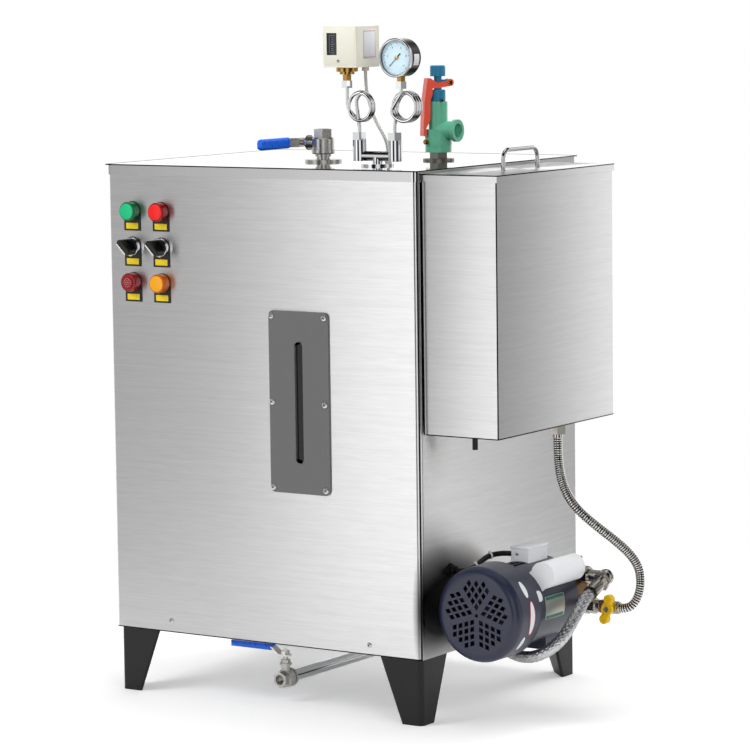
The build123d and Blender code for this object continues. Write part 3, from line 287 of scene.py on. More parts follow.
def even_frames(line, rows):
    """Places and cross directions at even steps along a line, carried without twist."""
    lengths = [0.0]
    for before, after in zip(line, line[1:]):
        lengths.append(lengths[-1] + (after - before).length)
    frames = []
    side = None
    at = 0
    for row in range(rows + 1):
        wanted = lengths[-1] * row / rows
        while at < len(line) - 2 and lengths[at + 1] < wanted:
            at += 1
        run = line[at + 1] - line[at]
        place = line[at] + run * min(1.0, (wanted - lengths[at]) / run.length)
        ahead = line[min(at + 2, len(line) - 1)] - line[max(at - 1, 0)]
        ahead.normalize()
        side = (side or ahead.orthogonal()) - ahead * (side or ahead.orthogonal()).dot(ahead)
        side.normalize()
        frames.append((place, side, ahead.cross(side)))
    return frames


def hose_mesh(name, route, around, rows, radius_at, material):
    """A tube whose radius follows a pattern of (share round, share along) in metres."""
    frames = even_frames(read_line(route), rows)
    shape = bmesh.new()
    shape.loops.layers.uv.new("along_hose")
    bmesh.ops.create_grid(shape, x_segments=around, y_segments=rows, size=0.5, calc_uvs=True)
    for corner in shape.verts:
        share = corner.co.x + 0.5
        along = corner.co.y + 0.5
        place, side, across = frames[round(along * rows)]
        reach = radius_at(share, along)
        corner.co = place + (side * cos(2 * pi * share) + across * sin(2 * pi * share)) * reach
    bmesh.ops.remove_doubles(shape, verts=shape.verts, dist=1e-6)
    rims = [edge for edge in shape.edges if edge.is_boundary]
    bmesh.ops.holes_fill(shape, edges=rims)
    bmesh.ops.recalc_face_normals(shape, faces=shape.faces)
    return finished(name, shape, material)


smooth_limit = radians(40)


def finished(name, shape, material, body="cabinet"):
    """A finished bmesh as an object that rides on a body."""
    mesh = bpy.data.meshes.new(name)
    shape.to_mesh(mesh)
    shape.free()
    mesh.polygons.foreach_set("use_smooth", [True] * len(mesh.polygons))
    mesh.set_sharp_from_angle(angle=smooth_limit)
    mesh.materials.append(material)
    made = bpy.data.objects.new(name, mesh)
    bpy.context.scene.collection.objects.link(made)
    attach(made, body)
    return made


inlet_points = [from_front(*place) for place in (
    (662, 232, 310), (662, 232, 292), (665, 229, 272), (675, 219, 250), (692, 207, 228),
    (714, 204, 206), (739, 217, 182), (760, 235, 160), (775, 250, 140), (784, 259, 121),
    (787, 261, 102), (788, 257, 84), (784, 251, 68), (774, 246, 57), (760, 246, 57),
)]
ring_pitch = 0.0036
inlet_length = 0.3323
inlet_radius = 0.0072
ring_depth = 0.0013
inlet_rings = round(inlet_length / ring_pitch)
# Corrugated stainless: bright ridges, with painted shade darkening the grooves between them.
corrugated = new_material("corrugated_stainless", "#f2f0ec", 1, 0.14, grain_mm=3, shade=0.08)
corrugated_tree = corrugated.node_tree
ring_place = add_node(corrugated_tree, "TexCoord")
ring_share = add_node(corrugated_tree, "SeparateXYZ", {"Vector": ring_place.outputs["UV"]})
ring_turn = add_node(
    corrugated_tree, "Math", {0: ring_share.outputs["Y"], 1: 2 * pi * inlet_rings}, operation="MULTIPLY",
)
ring_wave = add_node(corrugated_tree, "Math", {0: ring_turn.outputs[0]}, operation="COSINE")
groove_shade_share = add_node(
    corrugated_tree, "MapRange", {"Value": ring_wave.outputs[0], "From Min": -0.9, "From Max": 0.5},
)
ring_bright = shader_of(corrugated).inputs["Base Color"].links[0].from_socket
# The grooves' dark colour is painted shade.
groove_painted_shade = add_node(
    corrugated_tree, "Mix", {0: groove_shade_share.outputs[0], 6: linear("#35322e"), 7: ring_bright},
    data_type="RGBA",
)
corrugated_tree.links.new(groove_painted_shade.outputs[2], shader_of(corrugated).inputs["Base Color"])
inlet_route = hose_route("inlet_line", inlet_points)
inlet_hose = hose_mesh(
    "inlet_hose_tube", inlet_route, 32, inlet_rings * 6,
    lambda share, along: inlet_radius - ring_depth * (0.5 - 0.5 * cos(2 * pi * along * inlet_rings)) ** 2,
    corrugated,
)
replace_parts(inlet_hose, "inlet_hose")
read_line(inlet_route)

# The delivery hose from the pump to the cabinet: a rubber core under a sleeve of
# bright wire, plaited in two directions over and under.
outlet_points = [from_front(*place) for place in (
    (736, 198.55, 84.73), (736, 183.55, 79.23), (736, 168, 67), (735, 152, 53), (733, 138, 39),
    (727, 126, 25), (716, 117, 13), (700, 113, 3), (682, 115, -3), (663, 121, -5), (644, 128, -4),
    (627, 134, 1), (611, 138, 9), (595, 138, 12), (579, 138, 12),
)]
outlet_length = 0.2616
outlet_radius = 0.009
plait_count = 9
plait_pitch = 0.0085
plait_depth = 0.0011
plait_turns = round(outlet_length / plait_pitch)


def plait_height(share, along):
    """The wire sleeve's height: strands of two directions pass over each other in turn."""
    first = share * plait_count + along * plait_turns
    second = share * plait_count - along * plait_turns
    over = (int(first // 1) + int(second // 1)) % 2
    across = first if over else second
    return outlet_radius - plait_depth * (1 - abs(sin(pi * across)) ** 0.6)


# Plaited stainless wire: each strand is a flat bundle of fine bright wires.
braid = new_material("plaited_stainless_wire", "#e4e4e6", 1, 0.3, grain_mm=1.2, uneven=0.06, shade=0.15)
outlet_route = hose_route("outlet_line", outlet_points)
outlet_hose = hose_mesh("outlet_hose_tube", outlet_route, 90, plait_turns * 10, plait_height, braid)
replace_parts(outlet_hose, "outlet_hose")
read_line(outlet_route)

# The motor's supply cable and the pressure switch's cable: round sheathed leads
# that run from their boxes into glands on the cabinet.
motor_cable_points = [from_front(*place) for place in (
    (632.5, 156, 142), (617, 156, 142), (604, 148, 141), (598, 133, 139), (597, 115, 134),
    (597, 97, 128), (594, 84, 125), (586, 77, 124), (577, 77, 124),
)]
switch_cable_points = [from_front(*place) for place in (
    (384.5, 142.4, 860), (384.5, 142.4, 836), (389.5, 144.4, 810), (397.5, 148.4, 784), (413, 150, 760),
    (418, 151, 744), (418, 151, 726),
)]
# Black rubber: a dull sheath with a faint mottle. White PVC: a little glossier.
rubber = new_material("black_rubber_sheath", "#101011", 0, 0.42, grain_mm=2, relief_mm=0.05)
white_sheath = new_material("white_pvc_sheath", "#f0efe9", 0, 0.38, grain_mm=2, relief_mm=0.03)
for name, points, radius, material, slot, length in (
    ("motor_cable", motor_cable_points, 0.004, rubber, "black_cable", 0.1164),
    ("switch_cable", switch_cable_points, 0.0025, white_sheath, "white_cable", 0.141),
):
    route = hose_route(name, points)
    route.bevel_depth = radius
    route.bevel_resolution = 6
    route.materials.append(material)
    sheath = bpy.data.objects.new(name + "_sheath", route)
    bpy.context.scene.collection.objects.link(sheath)
    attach(sheath, "cabinet")
    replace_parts(sheath, name)

# The cabinet is a shell of brushed stainless sheet 1.2 mm thick: a wrap round the
# back and sides, a front panel with folded returns, and a pan let into its base.
def brushed_sheet(name, colour, middle, bow, painted_shade=None, roughness=0.3):
    """Sheet with a level brushed grain, a thin panel's slight bow and, if asked, a dark patch of painted
    shade and reflection.
    """
    made = bpy.data.materials.new(name)
    made.use_nodes = True
    tree = made.node_tree
    shader = tree.nodes["Principled BSDF"]
    shader.inputs["Metallic"].default_value = 1
    shader.inputs["Anisotropic"].default_value = brush_strength
    shader.inputs["Anisotropic Rotation"].default_value = brush_turn
    level = add_node(tree, "Tangent", direction_type="RADIAL", axis="Z")
    tree.links.new(level.outputs[0], shader.inputs["Tangent"])
    place = add_node(tree, "TexCoord")
    drawn = add_node(tree, "Mapping", {"Vector": place.outputs["Object"], "Scale": brush_marks})
    marks = add_node(
        tree, "TexNoise",
        {"Vector": drawn.outputs[0], "Scale": 1.0, "Detail": brush_detail, "Roughness": brush_break},
    )
    long_drawn = add_node(tree, "Mapping", {"Vector": place.outputs["Object"], "Scale": broad_marks})
    broad = add_node(tree, "TexNoise", {"Vector": long_drawn.outputs[0], "Scale": 1.0, "Detail": 2.0})
    both = add_node(
        tree, "Mix", {0: broad_share, 2: marks.outputs["Fac"], 3: broad.outputs["Fac"]}, data_type="FLOAT",
    )
    contrast = add_node(
        tree, "MapRange", {"Value": both.outputs[0], "From Min": tone_from, "From Max": tone_to},
    )
    light = linear(colour)
    dark = (*[c * (1 - brush_shade) for c in light[:3]], 1)
    tone = add_node(tree, "Mix", {0: contrast.outputs[0], 6: dark, 7: light}, data_type="RGBA")
    surface = tone.outputs[2]
    # The patch is painted shade and reflection, multiplied into the base colour.
    if painted_shade:
        shade_middle, shade_reach = painted_shade
        away = add_node(
            tree, "VectorMath", {0: place.outputs["Object"], 1: shade_middle}, operation="SUBTRACT",
        )
        scaled = add_node(tree, "VectorMath", {0: away.outputs[0], 1: shade_reach}, operation="MULTIPLY")
        reach = add_node(tree, "VectorMath", {0: scaled.outputs[0]}, operation="LENGTH")
        clear = add_node(tree, "MapRange", {
            "Value": reach.outputs["Value"], "From Min": painted_shade_full, "From Max": painted_shade_gone,
            "To Min": painted_shade_black, "To Max": 1.0,
        })
        surface = add_node(
            tree, "Mix", {0: 1.0, 6: tone.outputs[2], 7: clear.outputs[0]}, data_type="RGBA",
            blend_type="MULTIPLY",
        ).outputs[2]
    tree.links.new(surface, shader.inputs["Base Color"])
    spread = add_node(tree, "MapRange", {
        "Value": marks.outputs["Fac"], "To Min": roughness + polish_spread,
        "To Max": roughness - polish_spread,
    })
    tree.links.new(spread.outputs[0], shader.inputs["Roughness"])
    centre = from_front(*middle)
    offset = add_node(tree, "VectorMath", {0: place.outputs["Object"], 1: centre}, operation="SUBTRACT")
    squared = add_node(
        tree, "VectorMath", {0: offset.outputs[0], 1: offset.outputs[0]}, operation="MULTIPLY",
    )
    rise = add_node(tree, "VectorMath", {0: squared.outputs[0], 1: bow}, operation="DOT_PRODUCT")
    bump = add_node(tree, "Bump", {"Height": rise.outputs["Value"], "Distance": 1.0})
    tree.links.new(bump.outputs[0], shader.inputs["Normal"])
    return made


def dress(material, *names):
    """Gives CAD nodes a finish in all their slots."""
    for name in names:
        for slot in nodes[name].material_slots:
            slot.material = material


# The real brush marks are a tenth of a millimetre high. They are drawn 45 mm long
# and under 2 mm high, or they would not show at this size. Cycles per metre.
brush_marks = (22, 22, 620)
broad_marks = (4, 4, 170)
brush_detail = 4.0
brush_break = 0.62
broad_share = 0.35
tone_from = 0.34
tone_to = 0.66
polish_spread = 0.05
# The patch of painted shade and reflection is darkest to the first share of its reach and gone at the
# second.
painted_shade_full = 0.45
painted_shade_gone = 1.1
painted_shade_black = 0.03
brush_strength = 0.95
brush_turn = 0.25
brush_shade = 0.10
sheet_bright = "#efefef"
cabinet_middle = (282.5, 230, 360)
cabinet_bow = (-0.092, 0.10, 0)
# The sheet is painted dark behind the motor, a painted reflection of the dark motor and painted shade under
# it. Each reach is one over a distance in metres.
motor_painted_shade = from_front(565, 64, 72)
motor_shade_reaches = (60, 7.0, 11.2)
cabinet_sheet = brushed_sheet(
    "brushed_stainless_front", sheet_bright, cabinet_middle, cabinet_bow,
    painted_shade=(motor_painted_shade, motor_shade_reaches),
)
dress(cabinet_sheet, "front_panel", "cabinet_wrap", "base_pan")


# The roof is a folded tray of polished sheet, bright enough to mirror the
# fittings that stand on it.
polished = new_material(
    "polished_stainless_sheet", "#d6d6d6", 1, 0.07, grain_mm=60, uneven=0.02, shade=0.04,
)
# The top's colour is painted darker than the skirt that hangs from it, by which way each face looks:
# painted shade.
roof_top_shade_colour = "#a9a9a9"
polished_tree = polished.node_tree
roof_look = add_node(polished_tree, "TexCoord")
roof_facing = add_node(polished_tree, "SeparateXYZ", {"Vector": roof_look.outputs["Normal"]})
roof_base = shader_of(polished).inputs["Base Color"].links[0].from_socket
roof_top_painted_shade = add_node(
    polished_tree, "Mix", {0: roof_facing.outputs["Z"], 6: roof_base, 7: linear(roof_top_shade_colour)},
    data_type="RGBA",
)
polished_tree.links.new(roof_top_painted_shade.outputs[2], shader_of(polished).inputs["Base Color"])
dress(polished, "roof_cover")


# Four welded legs of black painted plate.
# Satin black paint: soft wide highlights and a fine orange peel.
black_paint = new_material(
    "satin_black_paint", "#040404", 0, 0.42, grain_mm=1.5, relief_mm=0.04, shade=0.3,
)
dress(black_paint, "legs", "pump_bracket")


# Pan-head screws of bright steel, with cross recesses, hold the front panel to
# the pan and the sight window's plate to the panel.
def place_in(shape, part, place, axis=(0, 0, 1), roll=0.0):
    """Cleans a part, turns its Z to an axis, moves it to its place and adds it to the piece."""
    bmesh.ops.remove_doubles(part, verts=part.verts, dist=1e-7)
    bmesh.ops.recalc_face_normals(part, faces=part.faces)
    turn = Vector((0, 0, 1)).rotation_difference(Vector(axis)).to_matrix().to_4x4()
    part.transform(Matrix.Translation(place) @ turn @ Matrix.Rotation(roll, 4, "Z"))
    mesh = bpy.data.meshes.new("part")
    part.to_mesh(mesh)
    part.free()
    shape.from_mesh(mesh)
    bpy.data.meshes.remove(mesh)


def add_turned(shape, profile, place, axis=(0, 0, 1), steps=32):
    """Spins a profile of (radius, height) points in millimetres and puts it in its place."""
    part = bmesh.new()
    corners = [part.verts.new((radius / 1000, 0, rise / 1000)) for radius, rise in profile]
    edges = [part.edges.new(pair) for pair in zip(corners, corners[1:])]
    bmesh.ops.spin(
        part, geom=corners + edges, axis=(0, 0, 1), cent=(0, 0, 0), angle=2 * pi, steps=steps,
        use_merge=True,
    )
    place_in(shape, part, place, axis)


def add_block(shape, size, place, axis=(0, 0, 1), roll=0.0, edge=0.2):
    """A block with softened edges, its sizes in millimetres."""
    part = bmesh.new()
    bmesh.ops.create_cube(part, size=1)
    bmesh.ops.scale(part, vec=[length / 1000 for length in size], verts=part.verts)
    bmesh.ops.bevel(
        part, geom=part.edges, offset=edge / 1000, segments=2, profile=0.5, affect="EDGES", material=-1,
    )
    place_in(shape, part, place, axis, roll)


forward = (0, -1, 0)
head_dome = ((0, 1), (0.45, 0.96), (0.8, 0.7), (1, 0.25), (1, 0))
head_rise = 0.55
cross_l = 1.1
cross_w = 0.26
cross_t = 0.14


def pan_screws(name, places, radius):
    """Pan heads with their cross recesses, as two pieces."""
    heads = bmesh.new()
    crosses = bmesh.new()
    rise = radius * head_rise
    dome = [(radius * out, rise * up) for out, up in head_dome]
    for place in places:
        add_turned(heads, dome, place, forward, steps=20)
        top = place + Vector(forward) * rise / 1000
        for roll in (pi / 4, 3 * pi / 4):
            cross_size = (radius * cross_l, radius * cross_w, cross_t)
            add_block(crosses, cross_size, top, forward, roll, edge=cross_t / 4)
    finished(name + "_heads", heads, bright_screw)
    finished(name + "_crosses", crosses, recess_dark)


# Bright zinc screws, and the shadow in their recesses.
bright_screw = new_material("zinc_plated_screw", "#f6f6f4", 1, 0.34, grain_mm=0.8)
recess_dark = new_material("shaded_recess", "#1b1b1b", 0, 0.6, grain_mm=0.5)
panel_screw_r = 4.0
panel_screw_places = [from_front(106, 0, 17.7), from_front(472, 0, 14.6)]
pan_screws("panel_screw", panel_screw_places, panel_screw_r)


# The control group: six black legend plates, three signal lamps, a sounder and
# two selector switches, each with a yellow card let into its plate.
control_x = (47.5, 102.0)
control_z = (649.0, 594.5, 540.0)
legend_t = 1.2
lens_front = -15.5
knob_front = -27.0
card_drop = 22.8
card_size = (23, 0.6, 9.2)
# Satin black plate and moulded black knobs; a matt yellow card.
plate_black = new_material("black_moulded_plate", "#131313", 0, 0.45, grain_mm=0.8, relief_mm=0.02)
knob_black = new_material("black_moulded_knob", "#0b0c0d", 0, 0.3, grain_mm=0.8, relief_mm=0.02)
card_yellow = new_material("yellow_card", "#f7d914", 0, 0.5, grain_mm=1)
dress(plate_black, "legend_plates")
dress(knob_black, "selector_knob_left", "selector_knob_right")
cards = bmesh.new()
for x in control_x:
    for z in control_z:
        add_block(cards, card_size, from_front(x, -legend_t, z - card_drop), edge=0.15)
finished("legend_cards", cards, card_yellow)

# Plated selector bezels: mirror bright.
chrome = new_material("bright_chrome", "#e2e3e5", 1, 0.08, grain_mm=4, uneven=0.02, shade=0.04)
dress(chrome, "selector_bezels", "lid_handle")
# Moulded acrylic lenses: clear colour, glossy; the face over the lamp is painted brighter than the rim, as
# painted light.
lens_profile = [(0, 0.9), (11.2, 0.9), (11.9, 0.6), (12.1, 0)]
for node, colour, lit_face_colour, x, z in (
    ("lamp_green", "#006b3a", "#00c785", control_x[0], control_z[0]),
    ("lamp_red", "#8f0003", "#ff0808", control_x[1], control_z[0]),
    ("lamp_amber", "#c95f00", "#ffb000", control_x[1], control_z[2]),
    ("buzzer", "#8c0a12", "#8c0a12", control_x[0], control_z[2]),
):
    rim = new_material(node + "_rim", colour, 0, 0.14, grain_mm=2, uneven=0.03)
    shader_of(rim).inputs["Coat Weight"].default_value = 0.2
    dress(rim, node)
    if node != "buzzer":
        face = new_material(node + "_face", lit_face_colour, 0, 0.3, grain_mm=1.2, relief_mm=0.02)
        lens_face = bmesh.new()
        add_turned(lens_face, lens_profile, from_front(x, lens_front, z), forward, steps=48)
        finished(node + "_lens", lens_face, face)

# The sounder's cap: rings of small raised dots round a middle one.
sounder = bmesh.new()
sounder_pale = new_material("moulded_sounder_dots", "#c9757c", 0, 0.4, grain_mm=1)
sounder_front = lens_front - 1.2
sounder_rings = ((0, 1), (3.2, 6), (6.3, 12))
sounder_dot = [(0, 0.1), (0.85, 0.1), (0.95, 0)]
for ring_radius, holes in sounder_rings:
    for hole in range(holes):
        turn = 2 * pi * hole / holes
        dot_x = control_x[0] + ring_radius * cos(turn)
        dot_z = control_z[2] + ring_radius * sin(turn)
        add_turned(sounder, sounder_dot, from_front(dot_x, sounder_front, dot_z), forward, steps=12)
finished("sounder_holes", sounder, sounder_pale)

# The selectors' white pointer lines, along the lower edge of each knob's bar.
bar_turn = radians(45)
line_size = (22, 1.7, 1.8)
line_shift_x = 3.4
line_shift_z = 2.6
line_sunk = 0.6
line_white = new_material("white_filled_line", "#f4f4f4", 0, 0.4, grain_mm=1)
for name, x in (("left", control_x[0]), ("right", control_x[1])):
    marker = bmesh.new()
    middle = from_front(x - line_shift_x, knob_front + line_sunk, control_z[1] - line_shift_z)
    add_block(marker, line_size, middle, edge=0.05)
    bmesh.ops.rotate(marker, cent=middle, matrix=Matrix.Rotation(bar_turn, 3, "Y"), verts=marker.verts)
    finished("selector_line_" + name, marker, line_white, "selector_" + name)


# The sight window: a grey painted plate screwed over the panel, with a slot in
# front of the water-level glass.
# Grey enamel: even, a little glossy. The glass is painted near black: painted shade of the dark cabinet
# behind it.
window_grey = new_material("grey_enamel", "#6b6b6b", 0, 0.34, grain_mm=1.2, relief_mm=0.02, shade=0.08)
level_glass_shade = new_material("level_glass_painted_shade", "#050606", 0, 0.06, grain_mm=20, uneven=0.02)
dress(window_grey, "window_plate")
dress(level_glass_shade, "sight_glass")
window_x = 354
window_z = 370.5
window_front = -3
window_screw_r = 5.0
window_screws = [
    from_front(x, window_front, z) for z in (499.7, 370.0, 241.2) for x in (305.5, 400.5)
]
pan_screws("window_screw", window_screws, window_screw_r)
# The slot was milled with round ends: these corner pieces round off the plain slot.
slot_half = 7.25
slot_l = 182.5
slot_back = 0.1
slot_sunk = 0.05
slot_depth = 0.0027
slot_steps = 16
ends = bmesh.new()
for facing in (1, -1):
    part = bmesh.new()
    turns = [pi * step / slot_steps for step in range(slot_steps + 1)]
    rim_points = [(slot_half * cos(turn), slot_half * sin(turn) - slot_half) for turn in turns]
    rim_points += [(-slot_half, slot_back), (slot_half, slot_back)]
    outline = [part.verts.new((x / 1000, 0, facing * rise / 1000)) for x, rise in rim_points]
    flat = part.faces.new(outline)
    bmesh.ops.triangulate(part, faces=[flat])
    deep = bmesh.ops.extrude_face_region(part, geom=part.faces[:])
    moved = [found for found in deep["geom"] if isinstance(found, bmesh.types.BMVert)]
    bmesh.ops.translate(part, vec=(0, slot_depth, 0), verts=moved)
    place_in(ends, part, from_front(window_x, window_front + slot_sunk, window_z + facing * slot_l / 2))
finished("slot_ends", ends, window_grey)


# The water tank: a box folded from bright rolled sheet, with a loose lid, a wire
# handle, an outlet union and an overflow stub.
tank_middle = (629, 179, 524)
tank_bow = (-0.30, -0.155, 0)
tank_sheet = brushed_sheet("brushed_stainless_tank", "#e4e4e4", tank_middle, tank_bow)
dress(tank_sheet, "water_tank", "tank_lid")
# Nickel plate: a warmer, softer bright than chrome.
nickel = new_material("nickel_plated_brass", "#cfcac2", 1, 0.16, grain_mm=2, uneven=0.05, shade=0.1)
black_moulding = new_material("black_moulded_nylon", "#0e0e0f", 0, 0.4, grain_mm=1, relief_mm=0.03)
dress(nickel, "tank_outlet", "port_elbow", "inlet_union", "hose_valve", "feed_fitting")
dress(black_moulding, "tank_overflow", "cable_gland")


# The feed pump's motor: a cast casing in dark blue-grey gloss paint, cooling fins
# over its top, and a pressed fan cover with lozenge holes.
motor_x = 648.0
motor_z = 72.0
cover_radius = 71.0
casing_radius = 62.0
# Gloss enamel over a casting: deep colour, clear highlights, a slight ripple.
navy = new_material("dark_blue_gloss_enamel", "#262b40", 0, 0.34, grain_mm=30, uneven=0.03, shade=0.06)
shader_of(navy).inputs["Coat Weight"].default_value = 0.2
shader_of(navy).inputs["Coat Roughness"].default_value = 0.12
dress(navy, "fan_cover", "motor_body")

# The cooling fan turns behind the cover: a moulded hub with straight blades.
fan = bmesh.new()
fan_blades = 7
fan_hub = [(0, 6), (16, 6), (18, 3), (18, -12), (0, -12)]
hub_y = 42
blade_y = 47
blade_size = (44, 18, 2.2)
blade_reach = 0.038
add_turned(fan, fan_hub, from_front(motor_x, hub_y, motor_z), forward)
for blade in range(fan_blades):
    turn = 2 * pi * blade / fan_blades
    part = bmesh.new()
    add_block(part, blade_size, Vector((blade_reach, 0, 0)), edge=0.5)
    bmesh.ops.rotate(part, cent=(0, 0, 0), matrix=Matrix.Rotation(turn, 3, "Y"), verts=part.verts)
    place_in(fan, part, from_front(motor_x, blade_y, motor_z))
finished("cooling_fan", fan, black_moulding)


def add_wrapped(shape, half_l, half_w, y, turn, radius, round_share=1.0):
    """A thin label laid on the casing: half its length along the axis, half its width round it."""
    part = bmesh.new()
    bmesh.ops.create_grid(part, x_segments=12, y_segments=24, size=1)
    for vert in part.verts:
        long_share = vert.co.x * (1 - round_share * vert.co.y ** 2 / 2) ** 0.5
        wide_share = vert.co.y * (1 - round_share * vert.co.x ** 2 / 2) ** 0.5
        angle = radians(turn) + wide_share * half_w / radius
        vert.co = from_front(
            motor_x + radius * cos(angle), y + long_share * half_l, motor_z + radius * sin(angle),
        )
    place_in(shape, part, Vector((0, 0, 0)))


# Bare labels on the motor: white ovals, a shield and a red-edged oval on the
# cover, and a plain silvered rating plate with green bands on the casing.
label_white = new_material("white_label_film", "#eef0f3", 0, 0.35, grain_mm=3)
label_red = new_material("red_label_ink", "#c8323a", 0, 0.4, grain_mm=3)
plate_silver = new_material("silvered_aluminium_plate", "#c4cac6", 1, 0.38, grain_mm=2, shade=0.15)
plate_green = new_material("green_plate_enamel", "#1f6b4d", 0, 0.4, grain_mm=2)
film_t = 0.25
plate_t = 0.3
# Half length, half width, place along the motor, turn, radius and roundness.
white_shapes = (
    (5.5, 13.5, 53.5, 33, cover_radius + film_t, 1.0),
    (5.5, 12, 46.5, -35, cover_radius + film_t, 1.0),
    (6.0, 25, 59, -3.5, cover_radius + 0.4, 1.0),
    (7.5, 8.5, 100, 20, casing_radius + film_t, 0.8),
)
white_labels = bmesh.new()
for label_shape in white_shapes:
    add_wrapped(white_labels, *label_shape)
finished("motor_labels", white_labels, label_white)
red_edge = bmesh.new()
add_wrapped(red_edge, 7.4, 26.6, 59, -3.5, cover_radius + film_t)
finished("motor_label_edge", red_edge, label_red)
plate_y = 140
rating_plate = bmesh.new()
add_wrapped(rating_plate, 28, 17.5, plate_y, 0.5, casing_radius + plate_t, round_share=0.1)
finished("rating_plate", rating_plate, plate_silver)
plate_bands = bmesh.new()
for turn, half_w in ((13.5, 2.2), (-12.5, 2.6)):
    add_wrapped(plate_bands, 25, half_w, plate_y, turn, casing_radius + 0.45, round_share=0.05)
finished("rating_plate_bands", plate_bands, plate_green)

# White mouldings: the terminal box and the run capacitor, each with a small screw.
white_moulding = new_material(
    "white_moulded_case", "#fafcff", 0, 0.4, grain_mm=3, shade=0.03, relief_mm=0.02,
)
shader_of(white_moulding).inputs["Coat Weight"].default_value = 0.3
dress(white_moulding, "terminal_box", "capacitor")
box_screw_place = from_front(motor_x - 4, 142, 145)
capacitor_screw_place = from_front(695, 112, 110)
pan_screws("box_screw", [box_screw_place], 2.6)
pan_screws("capacitor_screw", [capacitor_screw_place], 2.2)
box_lid_size = (33, 58, 3)
box_lid = bmesh.new()
add_block(box_lid, box_lid_size, from_front(motor_x, 170, 153.6), edge=0.8)
finished("terminal_box_lid", box_lid, white_moulding)

# White nylon ties hold the cable down.
motor_line = read_line(hose_route("motor_line", motor_cable_points))
ties = bmesh.new()
tie_ring = [(4.0, -1.4), (5.0, -1.4), (5.0, 1.4), (4.0, 1.4)]
tie_head = (4, 4, 3.4)
tie_head_up = Vector((0, 0, 0.0055))
for share in (0.32, 0.62):
    at = int(share * len(motor_line))
    along = (motor_line[at + 1] - motor_line[at]).normalized()
    add_turned(ties, tie_ring, motor_line[at], along, steps=20)
    add_block(ties, tie_head, motor_line[at] + tie_head_up, edge=0.5)
finished("cable_ties", ties, white_sheath)


# The pump head: cast brass, dull from the mould, with hex bolts in its back face
# and nickel-plated fittings on its ports.
cast_brass = new_material(
    "cast_brass", "#8a6a42", 1, 0.36, grain_mm=2.5, uneven=0.1, shade=0.35, relief_mm=0.12,
)
dress(cast_brass, "pump_head")
bolts = bmesh.new()
bolt_ring = 38
pump_back = 266
bolt_head = [(0, 4.4), (3.9, 4.4), (4.5, 3.8), (4.5, 0)]
for turn in (radians(45), radians(135), radians(225), radians(315)):
    place = from_front(motor_x + bolt_ring * cos(turn), pump_back, motor_z + bolt_ring * sin(turn))
    add_turned(bolts, bolt_head, place, (0, 1, 0), steps=6)
finished("pump_bolts", bolts, bright_screw)
# Yellow vinyl on the feed cock's butterfly: smooth, thick and glossy.
vinyl_yellow = new_material("yellow_dipped_vinyl", "#f5c600", 0, 0.28, grain_mm=4, relief_mm=0.05)
dress(vinyl_yellow, "butterfly_handle")
# The collar rings at the hoses' ends: a copper washer and a black sleeve.
copper = new_material("copper_washer", "#b5765a", 1, 0.3, grain_mm=2)
washer = bmesh.new()
washer_ring = [(8.6, -1.6), (10.3, -1.6), (10.3, 1.6), (8.6, 1.6)]
add_turned(washer, washer_ring, from_front(731, 246, 57), (1, 0, 0))
finished("collar_washer", washer, copper)
end_ring = bmesh.new()
end_sleeve = [(9.2, -2.2), (10.6, -2.2), (10.6, 2.2), (9.2, 2.2)]
add_turned(end_ring, end_sleeve, outlet_points[0], (outlet_points[1] - outlet_points[0]).normalized())
finished("hose_end_ring", end_ring, rubber)


# Two ball valves of cast stainless: the steam valve on the roof, the drain valve
# under the front. Their pressed levers carry blue dipped sleeves.
# Cast stainless: dull and finely pitted. Pressed strip: brighter, drawn one way.
cast_steel = new_material(
    "cast_stainless", "#cfcdc8", 1, 0.3, grain_mm=1.4, uneven=0.06, shade=0.15, relief_mm=0.03,
)
strip_steel = new_material("pressed_stainless_strip", "#f0eeea", 1, 0.32, grain_mm=6, shade=0.06)
blue_vinyl = new_material("blue_dipped_vinyl", "#0a6cf6", 0, 0.3, grain_mm=5, relief_mm=0.06)
dress(cast_steel, "steam_flange", "steam_valve_body", "drain_valve_body")
dress(strip_steel, "steam_valve_lever", "drain_valve_lever")
dress(blue_vinyl, "steam_valve_grip", "drain_valve_grip")
# The drain pipe: a bright drawn tube.
dress(chrome, "drain_pipe")


# The gauge manifold is chrome-plated tube and tee fittings; the two siphons are
# bright coiled tube.
siphon_steel = new_material("bright_coiled_tube", "#f4f5f6", 1, 0.03, grain_mm=5, uneven=0.02, shade=0.05)
dress(chrome, "manifold")
dress(siphon_steel, "siphon_tubes")


# The pressure switch: a moulded cream case over brass bellows, with a scale
# window, a cover screw, two adjusting posts and a bare side label.
switch_front_y = 95.0
switch_mid = (369.5, 127.0, 897.0)
cream = new_material("cream_moulded_case", "#f7f4e4", 0, 0.36, grain_mm=1.5, shade=0.04, relief_mm=0.03)
bright_brass = new_material("machined_brass", "#c39a52", 1, 0.22, grain_mm=1.5, uneven=0.05, shade=0.15)
window_dark = new_material("smoked_scale_window", "#24262c", 0, 0.2, grain_mm=3)
scale_grey = new_material("printed_scale", "#8d9098", 0, 0.5, grain_mm=3)
dress(cream, "switch_case", "switch_glands")
dress(bright_brass, "switch_bellows", "gauge_socket")
cover = bmesh.new()
add_block(cover, (55, 1.2, 55), from_front(switch_mid[0], switch_front_y, switch_mid[2]), edge=0.5)
finished("switch_cover", cover, cream)
scale_x = switch_mid[0] - 13.6
scale_z = switch_mid[2] + 4
scale_front = switch_front_y - 0.85
scale_step = 3.2
scale_window = bmesh.new()
add_block(scale_window, (18, 1.6, 33), from_front(scale_x, switch_front_y, scale_z), edge=0.3)
finished("switch_window", scale_window, window_dark)
scale_marks = bmesh.new()
